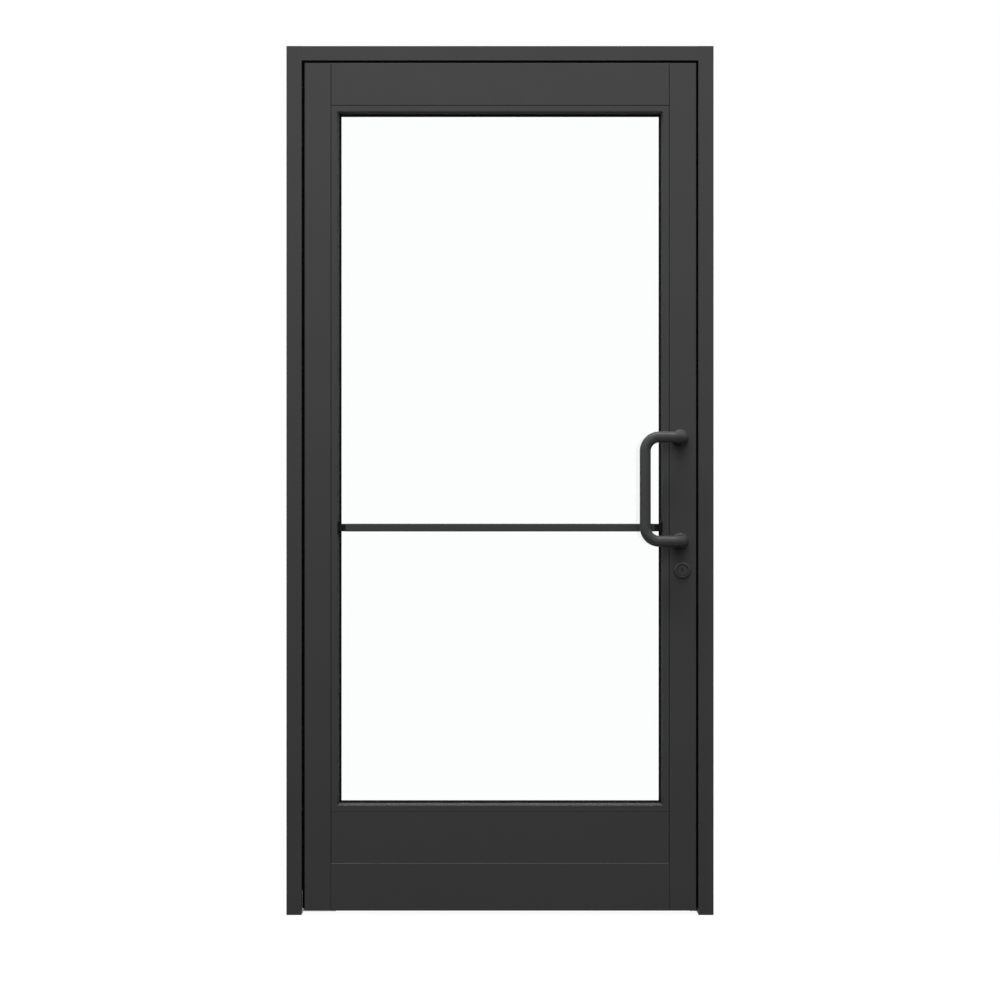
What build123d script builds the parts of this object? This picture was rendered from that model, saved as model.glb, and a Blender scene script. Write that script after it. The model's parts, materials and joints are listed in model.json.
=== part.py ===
"""Aluminium storefront door in its frame: pull side towards -Y, hinge side at -X.

The origin is on the floor, under the middle of the frame and of the leaf's thickness.
Sections are drawn with x running inwards from a piece's outer edge and y running
backwards from its front face, then extruded along the piece.
"""
from build123d import *
import os
from math import hypot

# Frame
frame_width = 1051.0
frame_height = 2138.0
frame_behind_stop = 15.85
jamb_face = 37.2
header_face = 35.4
frame_wall = 3.2
frame_corner = 0.5
spline_radius = 3.9
spline_bore = 2.3

# Raceway in the frame's inner faces, and the stops and fillers that snap into it
raceway_width = 40.0
raceway_depth = 12.0
raceway_wall = 2.5
lip_thickness = 1.6
lip_overhang = 2.0
snap_gap = 0.2
snap_leg_length = 6.5
snap_barb_reach = 1.6
snap_barb_length = 2.7
stop_projection = 15.9
stop_width = 48.0
stop_wall = 1.6
seal_depth = 6.0
seal_offset = 9.0
seal_wall = 1.2
seal_above_floor = 4.0
kerf_mouth = 2.6
kerf_width = 6.4
kerf_depth = 2.2
seal_clearance = 0.3

# Leaf
leaf_thickness = 44.45
hinge_gap = 8.5
strike_gap = 6.0
head_gap = 6.4
floor_gap = 10.8
hinge_stile_face = 64.0
lock_stile_face = 66.0
leaf_wall = 3.2
leaf_corner = 0.8
heel_corner = 2.0
top_rail_height = 104.1
bottom_rail_height = 126.8
extension_height = 117.0
extension_proud = 1.0
extension_ledge = 0.9
arm_channel = 26.0
block_channel = 40.0
fit_gap = 0.2
seat_gap = 0.1

# Swing on centre pivots
pivot_setback = 69.85
swing_clearance = 6.0
spindle_radius = 9.5
spindle_square = 14.0
spindle_clearance = 2.5
spindle_depth = 17.0
running_gap = 0.05
arm_length = 170.0
arm_width = 22.0
arm_thickness = 14.0
arm_hub_radius = 16.5
arm_hub_below = 4.0
arm_corner = 5.0
arm_screw_leads = (93.5, 153.0)
closer_width = 35.0
closer_length = 250.0
closer_lead = 32.0
closer_corner = 6.0
closer_edge = 1.5
closer_top_gap = 1.0
closer_screw_inset = 14.0
closer_screw_spread = 9.0
closer_screw_hold = 13.0
pin_radius = 6.0
pin_height = 24.0
pin_chamfer = 1.0
tongue_width = 26.0
tongue_gap = 0.6
tongue_thickness = 4.8
tongue_front_edge = 1.2
bracket_plate = 3.0
bracket_height = 60.0
bracket_screw_inset = 12.0
bracket_screw_pitch = 22.0
backing_thickness = 8.0
bush_radius = 9.0
washer_radius = 11.5
washer_thickness = 2.4
bush_flange = 1.5
bush_lift = 0.1
block_behind_pin = 20.0
block_ahead_of_pin = 90.0
block_screw_leads = (45.0, 75.0)
block_corner = 8.0
pile_width = 3.2
pile_backing_width = 7.0
pile_backing = 1.5
pile_lip = 2.5
pile_gap = 0.6

# Glass, glazing stops and gaskets
glass_thickness = 6.35
glass_edge = 10.7
glazing_face = 14.8
glazing_bevel = 4.9
glazing_bevel_depth = 8.2
glazing_wall = 1.6
glazing_corner = 0.5
gasket_thickness = 5.0
gasket_reveal = 4.5
gasket_seat = 7.0
gasket_barb_width = 2.2
gasket_barb_length = 2.0
rib_width = 2.0
rib_height = 3.0
rib_setback = 9.7
setting_block_length = 100.0
setting_block_width = 12.0

# Muntin bar across both faces of the glass
muntin_height_above_floor = 953.0
muntin_face = 19.05
muntin_setback = 2.0
muntin_wall = 1.6
muntin_corner = 1.4
clip_reach = 16.0
clip_foot_height = 30.0
clip_foot_thickness = 2.0
clip_inset = 0.4
spigot_length = 12.0
tape_height = 12.0
tape_thickness = 3.0

# Offset pull
pull_height_above_floor = 1047.5
pull_centres = 254.0
pull_rod_diameter = 27.0
pull_projection = 69.85
pull_offset = 89.5
pull_post_inset = 39.5
pull_corner = 34.4
pull_elbow = 20.0
flange_radius = 20.0
flange_height = 8.0
flange_rim = 1.6
flange_crown = 1.2
pull_bolt_radius = 4.5
pull_bolt_grip = 18.0
pull_bolt_end_gap = 2.0
bolt_head_radius = 9.5
bolt_head_height = 5.5
bolt_head_rim = 1.2
bolt_socket_radius = 3.0
sleeve_radius = 8.0

# Lock
lock_below_pull = 72.3
backset = 33.8
cylinder_radius = 14.3
cylinder_projection = 5.0
cylinder_edge = 1.2
cam_gap = 0.4
plug_radius = 6.35
keyway_width = 2.2
keyway_height = 8.6
keyway_depth = 14.0
cam_radius = 9.0
cam_thickness = 2.4
collar_radius = 20.6
collar_face_radius = 16.8
collar_height = 6.2
collar_rim = 1.4
case_depth = 46.0
case_width = 24.0
case_wall = 1.6
case_above = 28.0
case_below = 92.0
faceplate_width = 25.4
faceplate_margin = 12.0
clip_length = 20.0
clip_overlap = 8.0
bolt_drop = 36.0
bolt_inset = 15.3
bolt_reach = 44.0
bolt_thickness = 12.0
bolt_width = 14.0
bolt_corner = 4.0
bolt_pin_radius = 3.0
bolt_slot_gap = 2.0
strike_plate_height = 110.0
strike_plate_width = 28.0
strike_screw_inset = 10.0
strike_clip_height = 24.0
strike_clip_thickness = 3.0
thumb_length = 34.0
thumb_width = 11.0
thumb_projection = 22.0
thumb_taper = 4.0
thumb_edge = 1.5
thumb_base_radius = 10.0
thumb_base_height = 2.5

# Joinery
corner_block_length = 40.0
tie_rod_radius = 4.75
tie_rod_overrun = 3.0
tie_nut_radius = 9.0
tie_nut_height = 8.0
screw_radius = 2.2
screw_head_radius = 4.6
screw_head_height = 3.0
countersink_depth = 10.0
frame_screw_length = 38.0
head_access_radius = 6.1
anchor_hole_radius = 4.5
anchor_end = 150.0
anchor_pitch = 600.0

# Places that follow from the sizes above
frame_depth = leaf_thickness + seal_depth + stop_width + frame_behind_stop
leaf_front = -leaf_thickness / 2
leaf_back = leaf_thickness / 2
frame_front = leaf_front
opening_left = -frame_width / 2 + jamb_face
opening_right = frame_width / 2 - jamb_face
opening_top = frame_height - header_face
leaf_left = opening_left + hinge_gap
leaf_right = opening_right - strike_gap
leaf_top = opening_top - head_gap
rails_left = leaf_left + hinge_stile_face
rails_right = leaf_right - lock_stile_face
rails_middle = (rails_left + rails_right) / 2
rails_length = rails_right - rails_left
glazing_top = leaf_top - top_rail_height
extension_top = floor_gap + extension_height
glazing_bottom = extension_top + bottom_rail_height
pivot_x = opening_left + pivot_setback
heel_radius = hypot(pivot_x - leaf_left, leaf_thickness / 2)
raceway_start = leaf_thickness + seal_depth + (stop_width - raceway_width) / 2
raceway_end = raceway_start + raceway_width
stop_back = opening_right - stop_projection
head_stop_start = pivot_x + heel_radius + swing_clearance
seal_bulb = seal_depth - seal_clearance
glass_front = leaf_thickness / 2 - glass_thickness / 2
glazing_depth = glass_front - gasket_thickness
muntin_depth = glass_front - tape_thickness - muntin_setback
glazing_sight = glazing_face + glazing_bevel
tongue_top = floor_gap - tongue_gap
tongue_bottom = tongue_top - tongue_thickness
bush_bottom = tongue_top + washer_thickness + bush_lift
bush_height = pin_height + tongue_gap
block_screw_seat = bush_bottom + bush_flange + screw_head_height + 1
bracket_wall = opening_left - frame_wall + seat_gap
cylinder_length = cylinder_projection + leaf_thickness / 2 - cam_thickness - 2 * cam_gap
post_x = leaf_right - pull_post_inset
grip_x = post_x - pull_offset
rod_y = leaf_front - pull_projection + pull_rod_diameter / 2
cylinder_x = leaf_right - backset
cylinder_z = pull_height_above_floor - pull_centres / 2 - lock_below_pull
bolt_x = leaf_right - bolt_inset
bolt_z = cylinder_z - bolt_drop
lock_low = cylinder_z - case_below
lock_high = cylinder_z + case_above
tie_rod_heights = (
    floor_gap + (block_channel + extension_height) / 2,
    (extension_top + glazing_bottom) / 2,
    leaf_top - (arm_channel + top_rail_height) / 2,
)

LEFT, RIGHT = (-1, 0, 0), (1, 0, 0)
FORWARD, BACKWARD = (0, -1, 0), (0, 1, 0)
DOWN, UP = (0, 0, -1), (0, 0, 1)


# Shapes that many pieces share

def band(x0, x1, y0, y1):
    """Rectangle of a section, between two x and two y values."""
    return Pos((x0 + x1) / 2, (y0 + y1) / 2) * Rectangle(x1 - x0, y1 - y0)


def block(x0, x1, y0, y1, z0, z1):
    """Box between two places along each axis."""
    return Pos((x0 + x1) / 2, (y0 + y1) / 2, (z0 + z1) / 2) * Box(x1 - x0, y1 - y0, z1 - z0)


def stick(section, origin, inward, depthward, length):
    """Section extruded both ways from its origin, like a length cut from an extrusion."""
    inward = Vector(*inward)
    along = inward.cross(Vector(*depthward))
    plane = Plane(origin=origin, x_dir=inward, z_dir=along)
    return extrude(plane * section, amount=length / 2, both=True)


def rod(radius, start, end):
    """Round bar between two points."""
    axis = Vector(*end) - Vector(*start)
    return extrude(Plane(origin=start, z_dir=axis) * Circle(radius), amount=axis.length)


def turned(section, origin, outward):
    """Section with x as its radius and y as its height, turned about the outward axis."""
    sideways = Vector(*RIGHT)
    along = Vector(*outward)
    plane = Plane(origin=origin, x_dir=sideways, z_dir=sideways.cross(along))
    return revolve(plane * section, axis=Axis(origin, along))


def screw(head_centre, direction, length):
    """Screw with a low round head whose underside is at head_centre."""
    head_centre = Vector(*head_centre)
    direction = Vector(*direction)
    head = rod(screw_head_radius, head_centre - direction * screw_head_height, head_centre)
    return head + rod(screw_radius, head_centre, head_centre + direction * length)


def countersunk_screw(face_centre, direction, length):
    """Screw whose conical head ends flush with the face it is driven into."""
    face_centre = Vector(*face_centre)
    plane = Plane(origin=face_centre, z_dir=Vector(*direction))
    flare = screw_head_radius - screw_radius
    head = plane * Pos(0, 0, flare / 2) * Cone(screw_head_radius, screw_radius, flare)
    return head + rod(screw_radius, face_centre, face_centre + Vector(*direction) * length)


def countersink(face_centre, direction):
    """Countersunk hole that a screw goes through, from the face it is driven into."""
    face_centre = Vector(*face_centre)
    plane = Plane(origin=face_centre, z_dir=Vector(*direction))
    flare = screw_head_radius - screw_radius
    mouth = screw_head_radius + running_gap
    cone = plane * Pos(0, 0, flare / 2) * Cone(mouth, mouth - flare, flare)
    return cone + rod(mouth - flare, face_centre, face_centre + Vector(*direction) * countersink_depth)


def rounded_band(x0, x1, y0, y1, radius):
    """Rectangle of a section with its four corners rounded."""
    return fillet(band(x0, x1, y0, y1).vertices(), radius)


def round_far_corners(section, radius):
    """Round the two corners of a section with the largest x."""
    return fillet(section.vertices().group_by(Axis.X)[-1], radius)


def group(solids):
    """Separate solids that share a name."""
    return Compound(children=list(solids))


# Frame extrusions

def raceway_cut(face):
    """Open channel in the inner face of a frame tube, with a lip at each side of its mouth."""
    floor = face - raceway_depth
    channel = band(floor, face - lip_thickness, raceway_start, raceway_end)
    return channel + band(floor, face, raceway_start + lip_overhang, raceway_end - lip_overhang)


def frame_section(face):
    """Tube of a jamb or the header, with its raceway behind the leaf."""
    tube = rounded_band(0, face, 0, frame_depth, frame_corner)
    hollow = band(frame_wall, face - frame_wall, frame_wall, frame_depth - frame_wall)
    floor = face - raceway_depth - raceway_wall
    hollow -= band(floor, face, raceway_start - raceway_wall, raceway_end + raceway_wall)
    return tube - hollow - raceway_cut(face)


def spline_places():
    """Screw splines of the header's section, as x from its top and y from its front."""
    near_wall = frame_wall + spline_radius - fit_gap
    behind_closer = raceway_start - raceway_wall - screw_head_radius - 2 * fit_gap
    at_back = frame_depth - frame_wall - screw_head_radius - 2 * fit_gap
    return ((near_wall, behind_closer), (near_wall, at_back), (header_face - near_wall, at_back))


def header_section():
    """Header tube with round splines that take the screws through the jambs."""
    section = frame_section(header_face)
    for x, y in spline_places():
        section += Pos(x, y) * Circle(spline_radius)
        section -= Pos(x, y) * Circle(spline_bore)
    return section


def jamb(side):
    """Jamb at side -1 or +1, drilled for its wall anchors and for the header's screws."""
    inward = (-side, 0, 0)
    outer_x = side * frame_width / 2
    inner_x = outer_x - side * jamb_face
    mid = frame_height / 2
    tube = stick(frame_section(jamb_face), (outer_x, frame_front, mid), inward, BACKWARD, frame_height)
    anchor_y = frame_front + (raceway_start + raceway_end) / 2
    for z in anchor_heights():
        tube -= rod(anchor_hole_radius, (outer_x, anchor_y, z), (inner_x, anchor_y, z))
    for x, y in spline_places():
        place = (frame_front + y, frame_height - x)
        past_wall = side * (frame_wall + 1)
        tube -= rod(screw_radius + fit_gap, (inner_x - side, *place), (inner_x + past_wall, *place))
        tube -= rod(head_access_radius, (outer_x, *place), (outer_x - past_wall, *place))
    return tube


def anchor_heights():
    """Heights of the wall anchors: a pair from the foot up and a pair from the head down."""
    low = (anchor_end, anchor_end + anchor_pitch)
    high = (frame_height - anchor_end - anchor_pitch, frame_height - anchor_end)
    return low + high


def hinge_jamb():
    """Hinge jamb with a recess for the plate of the bottom pivot bracket."""
    half = tongue_width / 2 + fit_gap
    recess = block(
        opening_left - frame_wall, opening_left, -half, half,
        tongue_bottom - fit_gap, bracket_height + fit_gap,
    )
    return jamb(-1) - recess


def strike_jamb():
    """Strike jamb with the window for the strike plate."""
    half = strike_plate_width / 2 + fit_gap
    low, high = strike_span()
    window = block(
        opening_right, opening_right + frame_wall, -half, half, low - fit_gap, high + fit_gap
    )
    return jamb(1) - window


def header():
    """Header between the jambs, with holes for the closer's spindle and its screws."""
    length = frame_width - 2 * jamb_face
    tube = stick(header_section(), (0, frame_front, frame_height), DOWN, BACKWARD, length)
    spindle_hole = spindle_radius + spindle_clearance
    wall_top = opening_top + frame_wall
    tube -= rod(spindle_hole, (pivot_x, 0, opening_top - 1), (pivot_x, 0, wall_top + 1))
    for x, y in closer_screw_places():
        tube -= countersink((x, y, opening_top), UP)
    return tube


# Snap-in pieces of the raceway. Here x is measured out of the frame's inner face.

def snap_legs():
    """Pair of barbed legs that hook behind the raceway's lips, y from the piece's front."""
    edge = (stop_width - raceway_width) / 2
    skin = edge + lip_overhang + snap_gap
    barb_top = -lip_thickness - snap_gap
    leg = band(-snap_leg_length, 0, skin, skin + stop_wall)
    leg += Polygon(
        (barb_top, skin), (barb_top, skin - snap_barb_reach), (barb_top - snap_barb_length, skin), align=None
    )
    return leg + Pos(0, stop_width) * mirror(leg, Plane.XZ)


def kerf_cut():
    """T-shaped kerf in the front of a stop, which holds the weatherstrip's foot."""
    mouth_half, foot_half = kerf_mouth / 2, kerf_width / 2
    mouth = band(seal_offset - mouth_half, seal_offset + mouth_half, -1, stop_wall)
    return mouth + band(seal_offset - foot_half, seal_offset + foot_half, stop_wall, stop_wall + kerf_depth)


def stop_section():
    """Hollow door stop that stands out of the frame behind the leaf."""
    shell = round_far_corners(band(0, stop_projection, 0, stop_width), frame_corner)
    inner = band(0, stop_projection - stop_wall, stop_wall, stop_width - stop_wall)
    kerf_side = seal_offset - kerf_width / 2 - stop_wall
    inner -= band(kerf_side, stop_projection, stop_wall, 2 * stop_wall + kerf_depth)
    bridge = band(0, stop_wall, stop_wall, stop_width - stop_wall)
    return shell - inner + bridge - kerf_cut() + snap_legs()


def filler_section():
    """Flat strip that closes the raceway flush where there is no stop."""
    edge = (stop_width - raceway_width) / 2 + lip_overhang + snap_gap
    return band(-stop_wall, 0, edge, stop_width - edge) + snap_legs()


def weatherstrip_section():
    """Rubber strip: a foot in the kerf, a neck, and a hollow bulb that meets the leaf."""
    foot_half, neck_half = kerf_width / 2 - fit_gap, kerf_mouth / 2 - fit_gap
    foot_top = stop_wall + kerf_depth - fit_gap
    foot = band(seal_offset - foot_half, seal_offset + foot_half, stop_wall + seat_gap, foot_top)
    neck = band(seal_offset - neck_half, seal_offset + neck_half, -seal_wall / 2, stop_wall + seat_gap)
    bulb = Pos(seal_offset, -seal_bulb / 2) * (Circle(seal_bulb / 2) - Circle(seal_bulb / 2 - seal_wall))
    return foot + neck + bulb


def along_head(section, start, end):
    """Snap-in piece under the header, between two x positions."""
    origin = ((start + end) / 2, leaf_back + seal_depth, opening_top)
    return stick(section, origin, DOWN, BACKWARD, end - start)


def along_jamb(section, side, bottom, top):
    """Snap-in piece on the jamb at side -1 or +1, between two heights."""
    origin = (side * (frame_width / 2 - jamb_face), leaf_back + seal_depth, (bottom + top) / 2)
    return stick(section, origin, (-side, 0, 0), BACKWARD, top - bottom)


# Leaf extrusions

def glazing_ribs(face):
    """Two ribs on the glass side of a rail or stile, which the glazing stops hook over."""
    ribs = band(face, face + rib_height, rib_setback, rib_setback + rib_width)
    far = leaf_thickness - rib_setback
    return ribs + band(face, face + rib_height, far - rib_width, far)


def hinge_stile_section():
    """Hinge stile whose heel is an arc about the pivot, with a kerf for the pile strip."""
    middle = leaf_thickness / 2
    centre = Pos(pivot_x - leaf_left, middle)
    outer = band(-heel_radius, hinge_stile_face, 0, leaf_thickness) & centre * Circle(heel_radius)
    outer = round_far_corners(outer, leaf_corner)
    outer = fillet(outer.vertices().group_by(Axis.X)[0], heel_corner)
    hollow = band(-heel_radius, hinge_stile_face - leaf_wall, leaf_wall, leaf_thickness - leaf_wall)
    hollow &= centre * Circle(heel_radius - leaf_wall)
    heel = pivot_x - leaf_left - heel_radius
    seat_half = pile_backing_width / 2 + fit_gap
    seat_end = heel + pile_lip + pile_backing + fit_gap
    hollow -= band(heel, seat_end + leaf_wall, middle - seat_half - leaf_wall, middle + seat_half + leaf_wall)
    mouth_half = pile_width / 2 + fit_gap
    mouth = band(heel - 1, seat_end, middle - mouth_half, middle + mouth_half)
    seat = band(heel + pile_lip, seat_end, middle - seat_half, middle + seat_half)
    return outer - hollow - mouth - seat + glazing_ribs(hinge_stile_face)


def pile_section():
    """Woven pile strip: a flat backing in the kerf and a brush that nearly meets the jamb."""
    middle = leaf_thickness / 2
    heel = pivot_x - leaf_left - heel_radius
    brush_tip = -hinge_gap + pile_gap
    start = heel + pile_lip + seat_gap
    half = pile_backing_width / 2
    backing = band(start, start + pile_backing, middle - half, middle + half)
    return backing + band(brush_tip, start, middle - pile_width / 2, middle + pile_width / 2)


def lock_stile_section():
    """Plain tube of the lock stile."""
    tube = rounded_band(0, lock_stile_face, 0, leaf_thickness, leaf_corner)
    hollow = band(leaf_wall, lock_stile_face - leaf_wall, leaf_wall, leaf_thickness - leaf_wall)
    return tube - hollow + glazing_ribs(lock_stile_face)


def top_rail_section():
    """Top rail: an open channel for the closer's arm above a closed tube, x from its top."""
    tube = rounded_band(0, top_rail_height, 0, leaf_thickness, leaf_corner)
    tube -= band(-1, arm_channel, leaf_wall, leaf_thickness - leaf_wall)
    hollow = band(
        arm_channel + leaf_wall, top_rail_height - leaf_wall, leaf_wall, leaf_thickness - leaf_wall
    )
    return tube - hollow + glazing_ribs(top_rail_height)


def bottom_rail_section():
    """Upper part of the bottom rail, x from its underside."""
    tube = round_far_corners(band(0, bottom_rail_height, 0, leaf_thickness), leaf_corner)
    hollow = band(leaf_wall, bottom_rail_height - leaf_wall, leaf_wall, leaf_thickness - leaf_wall)
    return tube - hollow + glazing_ribs(bottom_rail_height)


def extension_section():
    """Lower part of the bottom rail, slightly proud, with a chamfered ledge along its top."""
    tube = band(0, extension_height, -extension_proud, leaf_thickness + extension_proud)
    tube = chamfer(tube.vertices().group_by(Axis.X)[-1], extension_ledge)
    tube = fillet(tube.vertices().group_by(Axis.X)[0], leaf_corner)
    tube -= band(-1, block_channel, leaf_wall, leaf_thickness - leaf_wall)
    hollow = band(
        block_channel + leaf_wall, extension_height - leaf_wall, leaf_wall, leaf_thickness - leaf_wall
    )
    return tube - hollow


def rail(section, outer_z, inward):
    """Rail between the stiles, from its outer edge at outer_z."""
    return stick(section, (rails_middle, leaf_front, outer_z), inward, BACKWARD, rails_length)


def stile(section, outer_x, inward):
    """Stile over the full height of the leaf, from its outer edge at outer_x."""
    middle = (floor_gap + leaf_top) / 2
    return stick(section, (outer_x, leaf_front, middle), inward, BACKWARD, leaf_top - floor_gap)


def tie_rod_holes():
    """Bores for the tie rods through both stiles' inner walls."""
    reach = leaf_wall + 2
    for z in tie_rod_heights:
        yield rod(tie_rod_radius + fit_gap, (rails_left - reach, 0, z), (rails_right + reach, 0, z))


def hinge_stile():
    """Hinge stile, notched inside at both ends for the pivot hardware."""
    shape = stile(hinge_stile_section(), leaf_left, RIGHT)
    wall_left = rails_left - leaf_wall - 1
    arm_half = arm_width / 2 + fit_gap
    arm_seat = leaf_top - arm_channel
    shape -= block(wall_left, rails_left + rib_height + 1, -arm_half, arm_half, arm_seat, leaf_top)
    block_half = pivot_block_half() + fit_gap
    shape -= block(
        wall_left, rails_left + rib_height + 1, -block_half, block_half,
        floor_gap, floor_gap + block_channel + fit_gap,
    )
    for hole in tie_rod_holes():
        shape -= hole
    return clear_ribs_outside_glass(shape)


def clear_ribs_outside_glass(shape):
    """Mill the glazing ribs off where a rail butts against the stile."""
    for bottom, top in ((floor_gap, glazing_bottom), (glazing_top, leaf_top)):
        shape -= block(rails_left, rails_right, leaf_front, leaf_back, bottom, top)
    return shape


def lock_stile():
    """Lock stile, cut for the lock, its cylinders and the pull's through bolts."""
    shape = stile(lock_stile_section(), leaf_right, LEFT)
    half = faceplate_width / 2 + fit_gap
    low, high = faceplate_span()
    shape -= block(
        leaf_right - leaf_wall, leaf_right, -half, half, low - fit_gap, high + fit_gap
    )
    through = (leaf_front - 1, leaf_back + 1)
    shape -= rod(
        cylinder_radius + fit_gap, (cylinder_x, through[0], cylinder_z), (cylinder_x, through[1], cylinder_z)
    )
    for z in pull_posts():
        shape -= rod(pull_bolt_radius + fit_gap, (post_x, through[0], z), (post_x, through[1], z))
    for hole in tie_rod_holes():
        shape -= hole
    return clear_ribs_outside_glass(shape)


def corner_blocks():
    """Blocks inside the ends of each rail, which locate it on the stiles."""
    channels = (
        (floor_gap + block_channel + leaf_wall, extension_top - leaf_wall),
        (extension_top + leaf_wall, glazing_bottom - leaf_wall),
        (glazing_top + leaf_wall, leaf_top - arm_channel - leaf_wall),
    )
    half = leaf_thickness / 2 - leaf_wall - fit_gap
    for (bottom, top), z in zip(channels, tie_rod_heights):
        for stile_face, side in ((rails_left, 1), (rails_right, -1)):
            end = stile_face + side * corner_block_length
            core_start = stile_face + side * 2 * leaf_wall
            piece = block(
                min(stile_face, end), max(stile_face, end), -half, half, bottom + fit_gap, top - fit_gap
            )
            piece -= block(
                min(core_start, end), max(core_start, end), -half + leaf_wall, half - leaf_wall,
                bottom + 2 * leaf_wall, top - 2 * leaf_wall,
            )
            yield piece - rod(tie_rod_radius + fit_gap, (stile_face, 0, z), (core_start, 0, z))


def tie_rods():
    """Rods that pull the stiles onto the rails, one through each rail."""
    reach = leaf_wall + tie_nut_height + tie_rod_overrun
    for z in tie_rod_heights:
        yield rod(tie_rod_radius, (rails_left - reach, 0, z), (rails_right + reach, 0, z))


def tie_rod_nuts():
    """Hexagonal nuts on the tie rods, tight against the inside of each stile."""
    for z in tie_rod_heights:
        for x, direction in ((rails_left - leaf_wall, LEFT), (rails_right + leaf_wall, RIGHT)):
            plane = Plane(origin=(x, 0, z), z_dir=direction)
            hexagon = RegularPolygon(tie_nut_radius, 6) - Circle(tie_rod_radius + running_gap)
            yield extrude(plane * hexagon, amount=tie_nut_height)


# Glazing. Here x is measured from a rail or stile towards the glass.

def glazing_outline():
    """Outer outline of a glazing stop: its flat face, its bevel and its inner edge."""
    return Polygon(
        (0, 0), (glazing_face, 0), (glazing_sight, glazing_bevel_depth),
        (glazing_sight, glazing_depth), (0, glazing_depth), align=None,
    )


def rib_groove():
    """Room for a rib of a rail or stile, with the clearance that lets the stop snap on."""
    return band(-1, rib_height + snap_gap, rib_setback - snap_gap, rib_setback + rib_width + snap_gap)


def glazing_section():
    """Hollow glazing stop with a groove that hooks over the rib and one for the gasket."""
    shell = fillet(glazing_outline().vertices().sort_by(Axis.Y)[:3], glazing_corner)
    wall = glazing_wall
    slope = glazing_bevel / glazing_bevel_depth
    step = hypot(1, slope) * wall
    rib_room = rib_height + snap_gap + wall
    barb_depth = gasket_barb_length + snap_gap
    floor = glazing_depth - barb_depth - wall
    inner = Polygon(
        (rib_room, wall), (glazing_face - step + slope * wall, wall),
        (glazing_sight - step, glazing_bevel_depth), (glazing_sight - step, floor),
        (rib_room, floor), align=None,
    )
    centre = glazing_sight - gasket_seat / 2
    barb_half = gasket_barb_width / 2 + seat_gap
    barb = band(centre - barb_half, centre + barb_half, glazing_depth - barb_depth, glazing_depth + 1)
    return shell - inner - rib_groove() - barb


def gasket_outline():
    """Wedge of rubber between the stop and the glass, standing a little into the daylight."""
    inner_edge = glazing_sight - gasket_seat
    tip = glazing_sight + gasket_reveal
    shoulder = (glazing_sight + tip) / 2
    return Polygon(
        (inner_edge, glazing_depth), (shoulder, glazing_depth), (tip, glazing_depth + gasket_thickness / 2),
        (tip, glass_front), (inner_edge, glass_front), align=None,
    )


def gasket_section():
    """Gasket with the barb that holds it in its stop."""
    centre = glazing_sight - gasket_seat / 2
    half = gasket_barb_width / 2
    barb_start = glazing_depth - gasket_barb_length
    return gasket_outline() + band(centre - half, centre + half, barb_start, glazing_depth)


def glazing_run(section, where, face, depthward, shorter=0.0):
    """One side of the glazing on the leaf's front or back face, cut shorter at each end."""
    middle = (glazing_bottom + glazing_top) / 2
    places = {
        "left": ((rails_left, face, middle), RIGHT, glazing_top - glazing_bottom),
        "right": ((rails_right, face, middle), LEFT, glazing_top - glazing_bottom),
        "bottom": ((rails_middle, face, glazing_bottom), UP, rails_length),
        "top": ((rails_middle, face, glazing_top), DOWN, rails_length),
    }
    origin, inward, length = places[where]
    return stick(section, origin, inward, depthward, length - 2 * shorter)


def glazing_stop(where, face, depthward):
    """Glazing stop: the level ones run through, and the upright ones are coped over them."""
    piece = glazing_run(glazing_section(), where, face, depthward)
    if where in ("bottom", "top"):
        for other in ("left", "right"):
            piece -= glazing_run(rib_groove(), other, face, depthward)
        return piece
    for other in ("bottom", "top"):
        piece -= glazing_run(glazing_outline(), other, face, depthward)
    return piece


def glazing_gaskets(face, depthward):
    """Four strips of rubber round one face of the glass."""
    keep_off = glazing_sight - gasket_seat
    for where in ("bottom", "top"):
        yield glazing_run(gasket_section(), where, face, depthward, keep_off)
    for where in ("left", "right"):
        piece = glazing_run(gasket_section(), where, face, depthward)
        for other in ("bottom", "top"):
            covered = band(-1, glazing_sight + gasket_reveal, 0, glass_front)
            piece -= glazing_run(covered, other, face, depthward)
        yield piece


def glass():
    """Single pane, held clear of the rails and stiles."""
    half = glass_thickness / 2
    return block(
        rails_left + glass_edge, rails_right - glass_edge, -half, half,
        glazing_bottom + glass_edge, glazing_top - glass_edge,
    )


def setting_blocks():
    """Rubber blocks that carry the glass at its quarter points."""
    half = setting_block_width / 2
    for x in (rails_left + rails_length / 4, rails_right - rails_length / 4):
        reach = setting_block_length / 2
        yield block(x - reach, x + reach, -half, half, glazing_bottom, glazing_bottom + glass_edge)


# Muntin bars

def muntin_bar(face, sign):
    """Hollow bar across one face of the glass; sign is +1 in front and -1 behind."""
    near = face + sign * muntin_setback
    middle = near + sign * muntin_depth / 2
    start = rails_left + glazing_sight + clip_reach
    end = rails_right - glazing_sight - clip_reach
    outline = RectangleRounded(muntin_depth, muntin_face, muntin_corner)
    outline -= Rectangle(muntin_depth - 2 * muntin_wall, muntin_face - 2 * muntin_wall)
    origin = ((start + end) / 2, middle, muntin_height_above_floor)
    return stick(outline, origin, BACKWARD, UP, end - start)


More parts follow.
